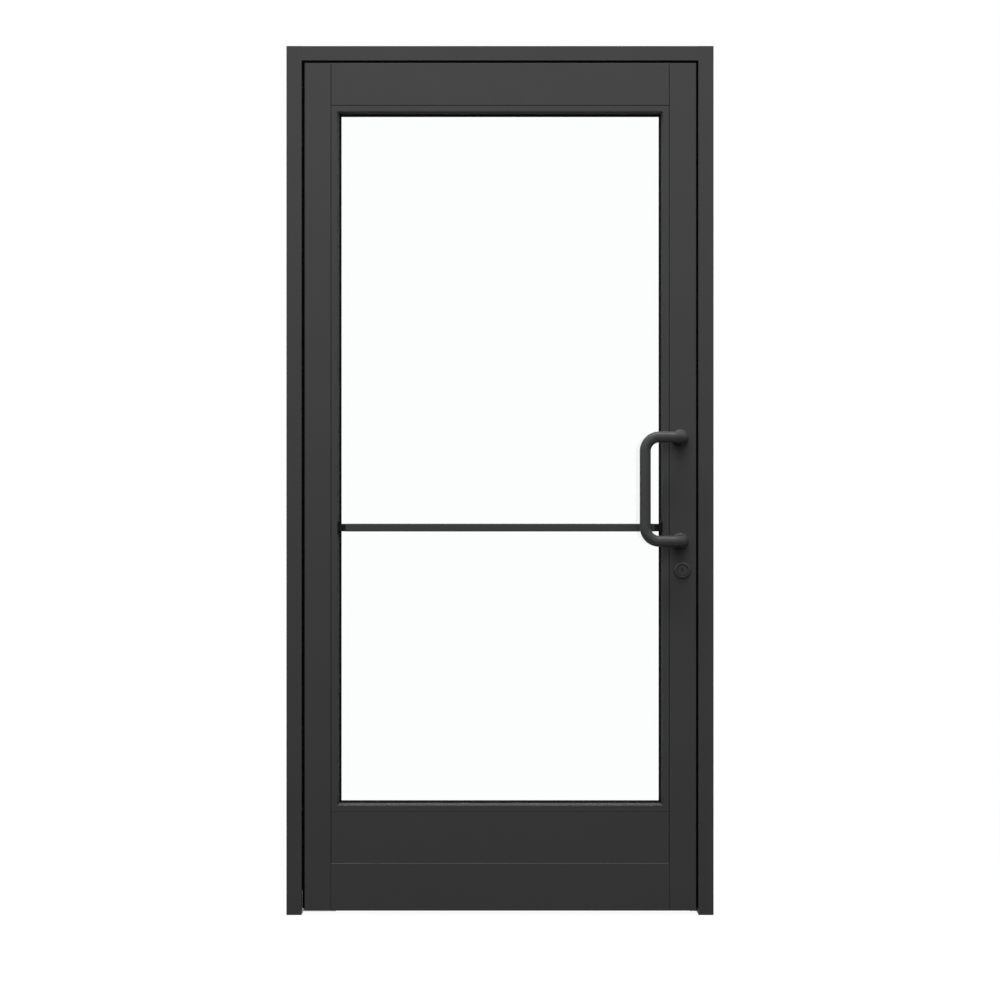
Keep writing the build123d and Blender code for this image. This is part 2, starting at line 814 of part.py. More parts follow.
def muntin_clips():
    """End fittings of the muntin bars: a foot on the stop's bevel, a block and a spigot."""
    edge = glazing_face + glazing_bevel / glazing_bevel_depth * muntin_setback
    foot = Polygon(
        (edge, muntin_setback), (glazing_sight, glazing_bevel_depth), (glazing_sight, glazing_depth),
        (glazing_sight + clip_foot_thickness, glazing_depth),
        (glazing_sight + clip_foot_thickness, glazing_bevel_depth),
        (edge + clip_foot_thickness, muntin_setback), align=None,
    )
    shank_front = muntin_setback + clip_inset
    shank = Polygon(
        (edge + clip_inset, shank_front), (glazing_sight + clip_reach, shank_front),
        (glazing_sight + clip_reach, glazing_depth), (glazing_sight + clip_inset, glazing_depth),
        (glazing_sight + clip_inset, glazing_bevel_depth), align=None,
    )
    spigot = band(
        glazing_sight + clip_reach, glazing_sight + clip_reach + spigot_length,
        muntin_setback + muntin_wall + fit_gap, muntin_setback + muntin_depth - muntin_wall - fit_gap,
    )
    inside = muntin_face - 2 * muntin_wall - 2 * fit_gap
    for x, inward in ((rails_left, RIGHT), (rails_right, LEFT)):
        for face, depthward in ((leaf_front, BACKWARD), (leaf_back, FORWARD)):
            origin = (x, face, muntin_height_above_floor)
            piece = stick(foot, origin, inward, depthward, clip_foot_height)
            piece += stick(shank, origin, inward, depthward, muntin_face - 2 * clip_inset)
            yield piece + stick(spigot, origin, inward, depthward, inside)


def muntin_tapes():
    """Foam tape that beds each muntin bar on the glass."""
    start = rails_left + glazing_sight + clip_reach
    end = rails_right - glazing_sight - clip_reach
    low = muntin_height_above_floor - tape_height / 2
    face = glass_thickness / 2
    for near, far in ((-face - tape_thickness, -face), (face, face + tape_thickness)):
        yield block(start, end, near, far, low, low + tape_height)


# Offset pull

def pull_posts():
    """Heights of the pull's two posts."""
    half = pull_centres / 2
    return (pull_height_above_floor - half, pull_height_above_floor + half)


def pull_handle():
    """Round bar bent in two planes: out of the stile, across to the glass and down."""
    low, high = pull_posts()
    path = FilletPolyline(
        (post_x, leaf_front, high), (post_x, rod_y, high), (grip_x, rod_y, high),
        (grip_x, rod_y, low), (post_x, rod_y, low), (post_x, leaf_front, low),
        radius=[pull_elbow, pull_corner, pull_corner, pull_elbow],
    )
    start = Plane(origin=(post_x, leaf_front, high), z_dir=FORWARD)
    bar = sweep(start * Circle(pull_rod_diameter / 2), path=path)
    drilled_to = leaf_front - pull_bolt_grip - pull_bolt_end_gap
    for z in (low, high):
        bar -= rod(pull_bolt_radius + running_gap, (post_x, leaf_front + 1, z), (post_x, drilled_to, z))
    return bar


def pull_flanges():
    """Domed roses that cover the pull's fixings on the stile."""
    bore = pull_rod_diameter / 2 + fit_gap
    crown = bore + flange_crown
    with BuildSketch() as dome:
        with BuildLine():
            Polyline((bore, flange_height), (bore, 0), (flange_radius, 0), (flange_radius, flange_rim))
            TangentArc((flange_radius, flange_rim), (crown, flange_height), tangent=(0, 1))
            Line((crown, flange_height), (bore, flange_height))
        make_face()
    for z in pull_posts():
        yield turned(dome.sketch, (post_x, leaf_front, z), FORWARD)


def pull_bolts():
    """Through bolts from the inner face of the stile into the pull, with domed heads."""
    rise = bolt_head_height - bolt_head_rim
    dome_radius = (bolt_head_radius ** 2 + rise ** 2) / (2 * rise)
    dome = Pos(0, bolt_head_height - dome_radius) * Circle(dome_radius)
    head = band(0, bolt_head_radius, 0, bolt_head_height) & dome
    for z in pull_posts():
        shank = rod(pull_bolt_radius, (post_x, leaf_back, z), (post_x, leaf_front - pull_bolt_grip, z))
        crown = Plane(origin=(post_x, leaf_back + bolt_head_height, z), z_dir=FORWARD)
        socket = extrude(crown * RegularPolygon(bolt_socket_radius, 6), amount=bolt_head_height - bolt_head_rim)
        yield turned(head, (post_x, leaf_back, z), BACKWARD) + shank - socket


def pull_sleeves():
    """Sleeves inside the stile that keep the through bolts from crushing it."""
    inside = leaf_thickness / 2 - leaf_wall
    for z in pull_posts():
        tube = rod(sleeve_radius, (post_x, -inside, z), (post_x, inside, z))
        yield tube - rod(pull_bolt_radius + fit_gap, (post_x, -inside - 1, z), (post_x, inside + 1, z))


# Lock

def faceplate_span():
    """Bottom and top of the lock's faceplate."""
    flange = clip_length / 2
    return (lock_low - flange - faceplate_margin, lock_high + flange + faceplate_margin)


def strike_span():
    """Bottom and top of the strike plate, centred on the bolt's slot."""
    low, high = bolt_slot_span(bolt_inset + strike_gap)
    middle = (low + high) / 2
    return (middle - strike_plate_height / 2, middle + strike_plate_height / 2)


def bolt_slot_span(distance):
    """Lowest and highest point that the bolt sweeps at a distance from its pivot."""
    tip = hypot(bolt_reach, bolt_width / 2)
    fall = (tip ** 2 - distance ** 2) ** 0.5
    return (bolt_z - fall - bolt_slot_gap, bolt_z + bolt_width / 2 + bolt_slot_gap)


def bolt_slot(x0, x1, distance):
    """Slot for the bolt through a plate between x0 and x1."""
    half = bolt_thickness / 2 + bolt_slot_gap
    low, high = bolt_slot_span(distance)
    return block(x0, x1, -half, half, low, high)


def lock_case():
    """Pressed steel case, open towards the faceplate, with the bolt's pin inside."""
    front = leaf_right - leaf_wall
    half = case_width / 2
    case = block(front - case_depth, front, -half, half, lock_low, lock_high)
    case -= block(
        front - case_depth + case_wall, front + 1, -half + case_wall, half - case_wall,
        lock_low + case_wall, lock_high - case_wall,
    )
    flange = clip_length / 2
    for bottom, top in ((lock_low - flange, lock_low), (lock_high, lock_high + flange)):
        case += block(front - leaf_wall, front, -half, half, bottom, top)
    case -= rod(
        cylinder_radius + running_gap, (cylinder_x, -half - 1, cylinder_z), (cylinder_x, half + 1, cylinder_z)
    )
    case += rod(bolt_pin_radius, (bolt_x, -half, bolt_z), (bolt_x, half, bolt_z))
    for z in case_screw_heights():
        case -= rod(screw_radius + running_gap, (front + 1, 0, z), (front - leaf_wall - 1, 0, z))
    return case


def case_screw_heights():
    """Heights of the screws that join the faceplate to the lock case."""
    return (lock_low - clip_length / 4, lock_high + clip_length / 4)


def clip_screw_heights():
    """Heights of the screws that join the faceplate to its clips."""
    low, high = faceplate_span()
    return (low + faceplate_margin / 2, high - faceplate_margin / 2)


def lock_faceplate():
    """Plate that closes the lock's window flush with the edge of the stile."""
    half = faceplate_width / 2
    low, high = faceplate_span()
    plate = block(leaf_right - leaf_wall, leaf_right, -half, half, low, high)
    plate -= bolt_slot(leaf_right - leaf_wall, leaf_right, bolt_inset - leaf_wall)
    for z in case_screw_heights() + clip_screw_heights():
        plate -= countersink((leaf_right, 0, z), LEFT)
    return plate


def faceplate_clips():
    """Clips behind the edge of the stile that take the faceplate's end screws."""
    outer = leaf_right - leaf_wall
    half = faceplate_width / 2
    low, high = faceplate_span()
    lower = (low - clip_overlap, lock_low - clip_length / 2 - fit_gap)
    upper = (lock_high + clip_length / 2 + fit_gap, high + clip_overlap)
    for (bottom, top), z in zip((lower, upper), clip_screw_heights()):
        clip = block(outer - leaf_wall, outer, -half, half, bottom, top)
        yield clip - rod(screw_radius + running_gap, (outer + 1, 0, z), (outer - leaf_wall - 1, 0, z))


def faceplate_screws():
    """Countersunk screws of the lock's faceplate."""
    for z in case_screw_heights() + clip_screw_heights():
        yield countersunk_screw((leaf_right, 0, z), LEFT, 2 * leaf_wall - fit_gap)


def strike_plate():
    """Strike plate flush in the jamb, slotted for the swing of the bolt."""
    half = strike_plate_width / 2
    low, high = strike_span()
    plate = block(opening_right, opening_right + frame_wall, -half, half, low, high)
    plate -= bolt_slot(opening_right - 1, opening_right + frame_wall + 1, bolt_inset + strike_gap)
    for z in strike_screw_heights():
        plate -= countersink((opening_right, 0, z), RIGHT)
    return plate


def strike_screw_heights():
    """Heights of the strike plate's screws."""
    low, high = strike_span()
    return (low + strike_screw_inset, high - strike_screw_inset)


def strike_clips():
    """Backing clips inside the jamb that take the strike plate's screws."""
    wall = opening_right + frame_wall
    half = strike_plate_width / 2
    low, high = strike_span()
    lowest = (low - clip_overlap, high + clip_overlap - strike_clip_height)
    for bottom, z in zip(lowest, strike_screw_heights()):
        top = bottom + strike_clip_height
        clip = block(wall, wall + strike_clip_thickness, -half, half, bottom, top)
        yield clip - rod(screw_radius + running_gap, (wall - 1, 0, z), (wall + strike_clip_thickness + 1, 0, z))


def strike_screws():
    """Countersunk screws of the strike plate."""
    for z in strike_screw_heights():
        yield countersunk_screw((opening_right, 0, z), RIGHT, frame_wall + strike_clip_thickness - fit_gap)


def dead_bolt():
    """Pivoted bolt: it hangs inside the lock when drawn, and swings up level when thrown."""
    half_width = bolt_width / 2
    body = Pos(0, -bolt_reach / 2) * Rectangle(bolt_width, bolt_reach)
    body = fillet(body.vertices().group_by(Axis.Y)[0], bolt_corner)
    body += Circle(half_width)
    body -= Circle(bolt_pin_radius + running_gap)
    plane = Plane(origin=(bolt_x, 0, bolt_z), x_dir=RIGHT, z_dir=FORWARD)
    return extrude(plane * body, amount=bolt_thickness / 2, both=True)


def cylinder_body(face, sign):
    """Lock cylinder with a bevelled face and a bore for its plug; sign is the way out."""
    bore = plug_radius + running_gap
    inner_end = cylinder_projection - cylinder_length
    shoulder = cylinder_projection - cylinder_edge
    section = Polygon(
        (bore, cylinder_projection), (bore, inner_end), (cylinder_radius, inner_end),
        (cylinder_radius, shoulder), (cylinder_radius - cylinder_edge, cylinder_projection), align=None,
    )
    return turned(section, (cylinder_x, face, cylinder_z), (0, sign, 0))


def cylinder_collar(face, sign):
    """Bevelled ring round a cylinder, on the face of the stile."""
    bore = cylinder_radius + fit_gap
    section = Polygon(
        (bore, 0), (collar_radius, 0), (collar_radius, collar_rim),
        (collar_face_radius, collar_height), (bore, collar_height), align=None,
    )
    return turned(section, (cylinder_x, face, cylinder_z), (0, sign, 0))


def turning_plug(face, sign):
    """Plug of a cylinder with the cam at its inner end."""
    front = face + sign * cylinder_projection
    inner = front - sign * (cylinder_length + cam_gap)
    plug = rod(plug_radius, (cylinder_x, front, cylinder_z), (cylinder_x, inner, cylinder_z))
    plane = Plane(origin=(cylinder_x, inner, cylinder_z), x_dir=RIGHT, z_dir=(0, -sign, 0))
    cam = Circle(plug_radius) + Pos(0, -cam_radius / 2) * Rectangle(plug_radius, cam_radius)
    return plug + extrude(plane * cam, amount=cam_thickness)


def key_plug():
    """Outer plug with its keyway."""
    front = leaf_front - cylinder_projection
    half = keyway_width / 2
    reach = keyway_height / 2
    keyway = block(
        cylinder_x - half, cylinder_x + half, front - 1, front + keyway_depth,
        cylinder_z - reach, cylinder_z + reach,
    )
    return turning_plug(leaf_front, -1) - keyway


def thumb_turn():
    """Inner plug with an oval turn standing on it."""
    face = leaf_back + cylinder_projection
    clear = leaf_back + collar_height + 2 * cam_gap
    neck = rod(plug_radius, (cylinder_x, face - 1, cylinder_z), (cylinder_x, clear, cylinder_z))
    plane = Plane(origin=(cylinder_x, clear, cylinder_z), x_dir=RIGHT, z_dir=BACKWARD)
    base = extrude(plane * Circle(thumb_base_radius), amount=thumb_base_height)
    oval = SlotOverall(thumb_length, thumb_width, rotation=90)
    grip = extrude(plane * oval, amount=thumb_projection, taper=thumb_taper)
    grip = chamfer(grip.edges().group_by(Axis.Y)[-1], thumb_edge)
    return turning_plug(leaf_back, 1) + neck + base + grip


# Pivots and closer

def bottom_bracket():
    """Steel bracket let into the hinge jamb; its tongue reaches under the leaf with the pin."""
    half = tongue_width / 2
    wall, low, top = bracket_wall, tongue_bottom, tongue_top
    plate = block(wall, wall + bracket_plate, -half, half, low, bracket_height)
    bevel_end = -half + 2 * tongue_thickness
    front_edge = top - tongue_front_edge
    edge = Polygon((-half, front_edge), (bevel_end, low), (half, low), (half, top), (-half, top), align=None)
    across = Plane(origin=(wall, 0, 0), x_dir=BACKWARD, z_dir=RIGHT)
    tongue = extrude(across * edge, amount=pivot_x - wall + half)
    plan = band(wall - pivot_x, 0, -half, half) + Circle(half)
    tongue &= extrude(Pos(pivot_x, 0, low) * plan, amount=tongue_thickness)
    pin = rod(pin_radius, (pivot_x, 0, low + 1), (pivot_x, 0, top + pin_height))
    pin = chamfer(pin.edges().group_by(Axis.Z)[-1], pin_chamfer)
    bracket = plate + tongue + pin
    for z in bracket_screw_heights():
        bracket -= countersink((wall + bracket_plate, 0, z), LEFT)
    return bracket


def bracket_screw_heights():
    """Heights of the bracket's two screws."""
    high = bracket_height - bracket_screw_inset
    return (high - bracket_screw_pitch, high)


def bracket_screws():
    """Countersunk screws of the bottom bracket."""
    face = bracket_wall + bracket_plate
    for z in bracket_screw_heights():
        yield countersunk_screw((face, 0, z), LEFT, bracket_plate + backing_thickness + 4)


def bracket_backing():
    """Backing bar inside the hinge jamb that takes the bracket's screws."""
    wall = opening_left - frame_wall
    half = tongue_width / 2
    low, high = bracket_screw_inset, bracket_height + bracket_screw_inset
    bar = block(wall - backing_thickness, wall, -half, half, low, high)
    for z in bracket_screw_heights():
        bar -= rod(screw_radius + running_gap, (wall + 1, 0, z), (wall - backing_thickness - 1, 0, z))
    return bar


def thrust_washer():
    """Bronze washer that carries the leaf on the tongue."""
    ring = Circle(washer_radius) - Circle(pin_radius + running_gap)
    return extrude(Pos(pivot_x, 0, tongue_top) * ring, amount=washer_thickness)


def pivot_bush():
    """Flanged bush that turns on the pin and rests on the thrust washer."""
    seat = Pos(pivot_x, 0, bush_bottom)
    bush = extrude(seat * Circle(washer_radius), amount=bush_flange)
    bush += extrude(seat * Circle(bush_radius), amount=bush_height)
    return bush - extrude(seat * Circle(pin_radius + running_gap), amount=bush_height)


def pivot_block_half():
    """Half the width of the bottom pivot block."""
    return leaf_thickness / 2 - leaf_wall - fit_gap


def pivot_block():
    """Block in the foot of the leaf that holds the pivot bush."""
    half = pivot_block_half()
    low = bush_bottom + bush_flange
    top = floor_gap + block_channel
    shape = block(pivot_x - block_behind_pin, pivot_x + block_ahead_of_pin, -half, half, low, top)
    shape = fillet(shape.edges().filter_by(Axis.Z).group_by(Axis.X)[0], block_corner)
    bore_top = bush_bottom + bush_height + fit_gap
    shape -= rod(bush_radius + running_gap, (pivot_x, 0, low - 1), (pivot_x, 0, bore_top))
    for x in block_screw_places():
        shape -= rod(screw_radius + running_gap, (x, 0, low - 1), (x, 0, top + 1))
        shape -= rod(screw_head_radius + fit_gap, (x, 0, low - 1), (x, 0, block_screw_seat))
    return shape


def block_screw_places():
    """Places of the pivot block's screws along the rail."""
    return [pivot_x + lead for lead in block_screw_leads]


def pivot_block_screws():
    """Screws up through the pivot block into the rail's web."""
    length = floor_gap + block_channel + leaf_wall - fit_gap - block_screw_seat
    for x in block_screw_places():
        yield screw((x, 0, block_screw_seat), UP, length)


def closer_screw_places():
    """Places of the closer's screws, as x and y."""
    end = pivot_x + closer_length - closer_lead - closer_screw_inset
    middle = pivot_x + closer_length / 2 - closer_lead
    return [(x, side * closer_screw_spread) for x in (end, middle) for side in (-1, 1)]


def closer_body():
    """Hydraulic closer that lies in the header, with the bore of its spindle."""
    floor = opening_top + frame_wall
    height = header_face - 2 * frame_wall - closer_top_gap
    half = closer_width / 2
    plan = band(-closer_lead, closer_length - closer_lead, -half, half)
    plan = fillet(plan.vertices(), closer_corner)
    body = extrude(Pos(pivot_x, 0, floor) * plan, amount=height)
    body = chamfer(body.faces().sort_by(Axis.Z)[-1].edges(), closer_edge)
    bore = spindle_radius + running_gap
    body -= rod(bore, (pivot_x, 0, floor - 1), (pivot_x, 0, floor + spindle_depth + 1))
    for x, y in closer_screw_places():
        body -= rod(screw_radius + running_gap, (x, y, floor - 1), (x, y, floor + closer_screw_hold + 1))
    return body


def closer_screws():
    """Countersunk screws up through the header's underside into the closer."""
    for x, y in closer_screw_places():
        yield countersunk_screw((x, y, opening_top), UP, frame_wall + closer_screw_hold)


def closer_spindle():
    """Spindle of the closer: round in the closer and square in the arm."""
    arm_low = leaf_top - arm_channel
    square_top = leaf_top
    top = opening_top + frame_wall + spindle_depth
    square = extrude(
        Pos(pivot_x, 0, arm_low + 1) * Rectangle(spindle_square, spindle_square),
        amount=square_top - arm_low - 1,
    )
    square &= rod(spindle_radius, (pivot_x, 0, arm_low), (pivot_x, 0, square_top))
    return square + rod(spindle_radius, (pivot_x, 0, square_top), (pivot_x, 0, top))


def closer_arm():
    """Arm in the top rail's channel, with a square socket for the spindle."""
    low = leaf_top - arm_channel
    plan = band(-arm_hub_radius / 2, arm_length, -arm_width / 2, arm_width / 2)
    plan = fillet(plan.vertices().group_by(Axis.X)[-1], arm_corner)
    bar = extrude(Pos(pivot_x, 0, low) * plan, amount=arm_thickness)
    hub = extrude(Pos(pivot_x, 0, low) * Circle(arm_hub_radius), amount=arm_channel - arm_hub_below)
    hub &= block(
        pivot_x - arm_hub_radius, rails_left - leaf_wall - fit_gap,
        -arm_hub_radius, arm_hub_radius, low, leaf_top,
    )
    side = spindle_square + 2 * running_gap
    socket = extrude(Pos(pivot_x, 0, low - 1) * Rectangle(side, side), amount=arm_channel + 1)
    shape = bar + hub - socket
    for x in arm_screw_places():
        shape -= rod(screw_radius + running_gap, (x, 0, low - 1), (x, 0, leaf_top))
    return shape


def arm_screw_places():
    """Places of the arm's screws along the top rail."""
    return [pivot_x + lead for lead in arm_screw_leads]


def arm_screws():
    """Screws that hold the arm down on the top rail's web."""
    head = leaf_top - arm_channel + arm_thickness
    for x in arm_screw_places():
        yield screw((x, 0, head), DOWN, arm_thickness + leaf_wall - fit_gap)


def frame_screws():
    """Screws from inside each jamb into the header's splines."""
    for side in (-1, 1):
        x = side * (frame_width / 2 - jamb_face + frame_wall)
        for depth, y in spline_places():
            yield screw((x, frame_front + y, frame_height - depth), (-side, 0, 0), frame_screw_length)


def top_rail():
    """Top rail, drilled for the arm's screws."""
    shape = rail(top_rail_section(), leaf_top, DOWN)
    web = leaf_top - arm_channel
    for x in arm_screw_places():
        shape -= rod(screw_radius + running_gap, (x, 0, web + 1), (x, 0, web - leaf_wall - 1))
    return clear_rib_ends(shape)


def bottom_extension():
    """Lower part of the bottom rail, drilled for the pivot block's screws."""
    shape = rail(extension_section(), floor_gap, UP)
    web = floor_gap + block_channel
    for x in block_screw_places():
        shape -= rod(screw_radius + running_gap, (x, 0, web - 1), (x, 0, web + leaf_wall + 1))
    return shape


def clear_rib_ends(shape):
    """Stop a rail's glazing ribs short of the stiles' ribs."""
    for start, end in ((rails_left, rails_left + rib_height), (rails_right - rib_height, rails_right)):
        shape -= block(
            start - fit_gap, end + fit_gap, leaf_front, leaf_back, glazing_bottom, glazing_top
        )
    return shape


parts = {
    "hinge_jamb": hinge_jamb(),
    "strike_jamb": strike_jamb(),
    "header": header(),
    "head_stop": along_head(stop_section(), head_stop_start, stop_back),
    "strike_stop": along_jamb(stop_section(), 1, 0, opening_top),
    "jamb_filler": along_jamb(filler_section(), -1, 0, opening_top),
    "header_filler": along_head(filler_section(), opening_left, head_stop_start),
    "head_weatherstrip": along_head(weatherstrip_section(), head_stop_start, stop_back),
    "strike_weatherstrip": along_jamb(weatherstrip_section(), 1, seal_above_floor, opening_top),
    "frame_screws": group(frame_screws()),
    "strike_plate": strike_plate(),
    "strike_clips": group(strike_clips()),
    "strike_screws": group(strike_screws()),
    "closer_body": closer_body(),
    "closer_screws": group(closer_screws()),
    "bottom_pivot_bracket": bottom_bracket(),
    "bracket_backing_bar": bracket_backing(),
    "bracket_screws": group(bracket_screws()),
    "thrust_washer": thrust_washer(),
    "hinge_stile": hinge_stile(),
    "lock_stile": lock_stile(),
    "top_rail": top_rail(),
    "bottom_rail": clear_rib_ends(rail(bottom_rail_section(), extension_top, UP)),
    "bottom_rail_extension": bottom_extension(),
    "corner_blocks": group(corner_blocks()),
    "tie_rods": group(tie_rods()),
    "tie_rod_nuts": group(tie_rod_nuts()),
    "closer_spindle": closer_spindle(),
    "closer_arm": closer_arm(),
    "closer_arm_screws": group(arm_screws()),
    "pivot_block": pivot_block(),
    "pivot_block_screws": group(pivot_block_screws()),
    "pivot_bush": pivot_bush(),
    "heel_pile": stile(pile_section(), leaf_left, RIGHT),
    "glass": glass(),
    "setting_blocks": group(setting_blocks()),
    "front_gasket": group(glazing_gaskets(leaf_front, BACKWARD)),
    "back_gasket": group(glazing_gaskets(leaf_back, FORWARD)),
    "front_muntin_bar": muntin_bar(leaf_front, 1),
    "back_muntin_bar": muntin_bar(leaf_back, -1),
    "muntin_clips": group(muntin_clips()),
    "muntin_tapes": group(muntin_tapes()),
    "pull_handle": pull_handle(),
    "pull_flanges": group(pull_flanges()),
    "pull_bolts": group(pull_bolts()),
    "pull_sleeves": group(pull_sleeves()),
    "lock_case": lock_case(),
    "lock_faceplate": lock_faceplate(),
    "faceplate_clips": group(faceplate_clips()),
    "faceplate_screws": group(faceplate_screws()),
    "outer_cylinder": cylinder_body(leaf_front, -1),
    "inner_cylinder": cylinder_body(leaf_back, 1),
    "cylinder_collars": group([cylinder_collar(leaf_front, -1), cylinder_collar(leaf_back, 1)]),
    "key_plug": key_plug(),
    "thumb_turn": thumb_turn(),
    "dead_bolt": dead_bolt(),
}
for name, face, depthward in (("front", leaf_front, BACKWARD), ("back", leaf_back, FORWARD)):
    uprights = [glazing_stop(where, face, depthward) for where in ("left", "right")]
    parts[f"{name}_upright_glazing_stops"] = group(uprights)
    levels = [glazing_stop(where, face, depthward) for where in ("bottom", "top")]
    parts[f"{name}_level_glazing_stops"] = group(levels)

os.makedirs("parts", exist_ok=True)
for name, shape in parts.items():
    export_step(shape, f"parts/{name}.step")
print(f"{len(parts)} nodes written")
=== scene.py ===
# %% [markdown]
# # A storefront door, finished in Blender
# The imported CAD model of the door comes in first. It already has every piece in its real place, in metres, with the
# floor at height 0 and the pull side facing -Y. This file gives each piece its finish, shapes a few small pieces that
# are easier to make here, and lights the door like the photograph.

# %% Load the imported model
import json
import math
import bmesh
import bpy
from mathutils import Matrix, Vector


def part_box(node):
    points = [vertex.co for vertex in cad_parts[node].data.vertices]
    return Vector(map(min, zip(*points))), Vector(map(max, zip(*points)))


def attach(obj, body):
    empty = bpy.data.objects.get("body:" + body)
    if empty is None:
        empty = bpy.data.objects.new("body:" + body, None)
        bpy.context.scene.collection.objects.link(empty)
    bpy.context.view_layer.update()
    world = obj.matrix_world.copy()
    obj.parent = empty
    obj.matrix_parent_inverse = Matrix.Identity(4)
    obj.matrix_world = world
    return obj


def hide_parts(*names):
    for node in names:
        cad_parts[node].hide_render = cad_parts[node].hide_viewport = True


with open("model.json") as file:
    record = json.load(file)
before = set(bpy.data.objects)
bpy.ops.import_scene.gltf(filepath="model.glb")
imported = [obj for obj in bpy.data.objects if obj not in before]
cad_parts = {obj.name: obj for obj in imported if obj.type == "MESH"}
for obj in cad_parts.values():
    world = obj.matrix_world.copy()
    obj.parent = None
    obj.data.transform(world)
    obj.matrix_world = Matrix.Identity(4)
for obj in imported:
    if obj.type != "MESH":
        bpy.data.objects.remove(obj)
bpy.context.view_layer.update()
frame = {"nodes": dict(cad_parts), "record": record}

nodes = frame["nodes"]
MM = 0.001

# %% [markdown]
# The photograph looks straight at the door from the pull side, a little below half its height. From that the lens
# follows: one that takes in 2.46 m at the face of the frame from 5 m away, so the picture is as wide as the photograph.

# %% Camera
VIEW_DISTANCE = 5.0
VIEW_WIDTH = 2.46
VIEW_HEIGHT = 1.0211
FRAME_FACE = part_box("strike_jamb")[0].y
SENSOR = 36.0

bpy.ops.object.camera_add(location=(0, FRAME_FACE - VIEW_DISTANCE, VIEW_HEIGHT), rotation=(math.pi / 2, 0, 0))
camera = bpy.context.object
camera.name = "camera"
camera.data.sensor_width = SENSOR
camera.data.lens = SENSOR * VIEW_DISTANCE / VIEW_WIDTH
bpy.context.scene.camera = camera
bpy.context.scene.view_settings.view_transform = "Standard"
print("lens", round(camera.data.lens, 1), "mm")

# %% [markdown]
# A material is a small graph of shader nodes. One function adds a node, sets its properties and joins or fills its
# inputs, so a finish below reads as a list of what it is made of. Colours are written as they look on a screen, in
# hex, and one function turns them into the linear light that the shaders count in.

# %% Helpers for materials
def linear(hex_colour):
    """Turns a screen colour such as 3a3a3b into linear red, green, blue and alpha."""
    parts = [int(hex_colour[i:i + 2], 16) / 255 for i in (0, 2, 4)]
    return (*[c / 12.92 if c <= 0.04045 else ((c + 0.055) / 1.055) ** 2.4 for c in parts], 1.0)


def add(tree, kind, settings=None, inputs=None):
    """Adds a node; each input gets a value, or a link if it is given a socket."""
    made = tree.nodes.new(kind)
    for key, value in (settings or {}).items():
        setattr(made, key, value)
    for key, value in (inputs or {}).items():
        if isinstance(value, bpy.types.NodeSocket):
            tree.links.new(value, made.inputs[key])
        else:
            made.inputs[key].default_value = value
    return made


def new_finish(name):
    """An empty material, its node tree, and the object's own coordinates in metres."""
    material = bpy.data.materials.new(name)
    material.use_nodes = True
    tree = material.node_tree
    tree.nodes.clear()
    place = add(tree, "ShaderNodeTexCoord").outputs["Object"]
    return material, tree, place


def per_metre(size_mm):
    """Scale of a noise texture whose features are size_mm across."""
    return 1000.0 / size_mm


def finish_surface(tree, shader):
    """Joins a shader to a new material output, as the last node of a finish."""
    add(tree, "ShaderNodeOutputMaterial", {}, {"Surface": shader.outputs["BSDF"]})


print("screen grey 808080 is", round(linear("808080")[0], 3), "of full light")

# %% [markdown]
# The floor is pale and plain, and the world round it is white, as in the photograph. The lamps do not make it white:
# Light Path finds the rays that come from the camera, from a reflection or through the glass, and those see white.
# The light that spreads onto the door is a soft grey from the sides and very little from the floor, because in the
# photograph every face that looks down is nearly black.

# %% World
STUDIO_WHITE = "ffffff"
STUDIO_GREY = "858585"


def seen_directly(tree):
    """One for a ray from the camera, a reflection or the glass, and nothing for light that spreads."""
    rays = add(tree, "ShaderNodeLightPath")
    first = add(tree, "ShaderNodeMath", {"operation": "MAXIMUM"},
                {0: rays.outputs["Is Camera Ray"], 1: rays.outputs["Is Glossy Ray"]})
    both = add(tree, "ShaderNodeMath", {"operation": "MAXIMUM"},
               {0: first.outputs[0], 1: rays.outputs["Is Transmission Ray"]})
    return both.outputs[0]


world = bpy.data.worlds.new("studio")
world.use_nodes = True
bpy.context.scene.world = world
sky = world.node_tree
sky.nodes.clear()
grey = add(sky, "ShaderNodeBackground", {}, {"Color": linear(STUDIO_GREY)})
white = add(sky, "ShaderNodeBackground", {}, {"Color": linear(STUDIO_WHITE)})
both = add(sky, "ShaderNodeMixShader", {}, {0: seen_directly(sky), 1: grey.outputs[0], 2: white.outputs[0]})
add(sky, "ShaderNodeOutputWorld", {}, {"Surface": both.outputs[0]})
print("the world is", STUDIO_WHITE, "to the camera and", STUDIO_GREY, "to the door")

# %% [markdown]
# The floor is a disc of matt paper. Near the door a small share of it stays a real surface, which keeps the soft shadow
# round the feet. Further out it glows at just the white of the world, so that no horizon shows.

# %% Floor
FLOOR_RADIUS = 14.0
FLOOR_SIDES = 96
SHADOW_REACH = (0.6, 2.4)
SHADOW_KEEP = 0.05
FLOOR_PALE = "f4f4f4"
FLOOR_BOUNCE = "2a2a2a"

bpy.ops.mesh.primitive_circle_add(vertices=FLOOR_SIDES, radius=FLOOR_RADIUS, fill_type="NGON", location=(0, 0, 0))
floor = bpy.context.object
floor.name = "floor"
paper, tree, place = new_finish("white_paper_floor")
seen = seen_directly(tree)
away = add(tree, "ShaderNodeVectorMath", {"operation": "LENGTH"}, {0: place})
fade = add(tree, "ShaderNodeMapRange", {"interpolation_type": "SMOOTHSTEP"},
           {"Value": away.outputs["Value"], "From Min": SHADOW_REACH[0], "From Max": SHADOW_REACH[1],
            "To Min": 1.0 - SHADOW_KEEP, "To Max": 1.0})
share = add(tree, "ShaderNodeMath", {"operation": "MULTIPLY"}, {0: seen, 1: fade.outputs["Result"]})
shade = add(tree, "ShaderNodeMix", {"data_type": "RGBA"}, {0: seen, 6: linear(FLOOR_BOUNCE), 7: linear(FLOOR_PALE)})
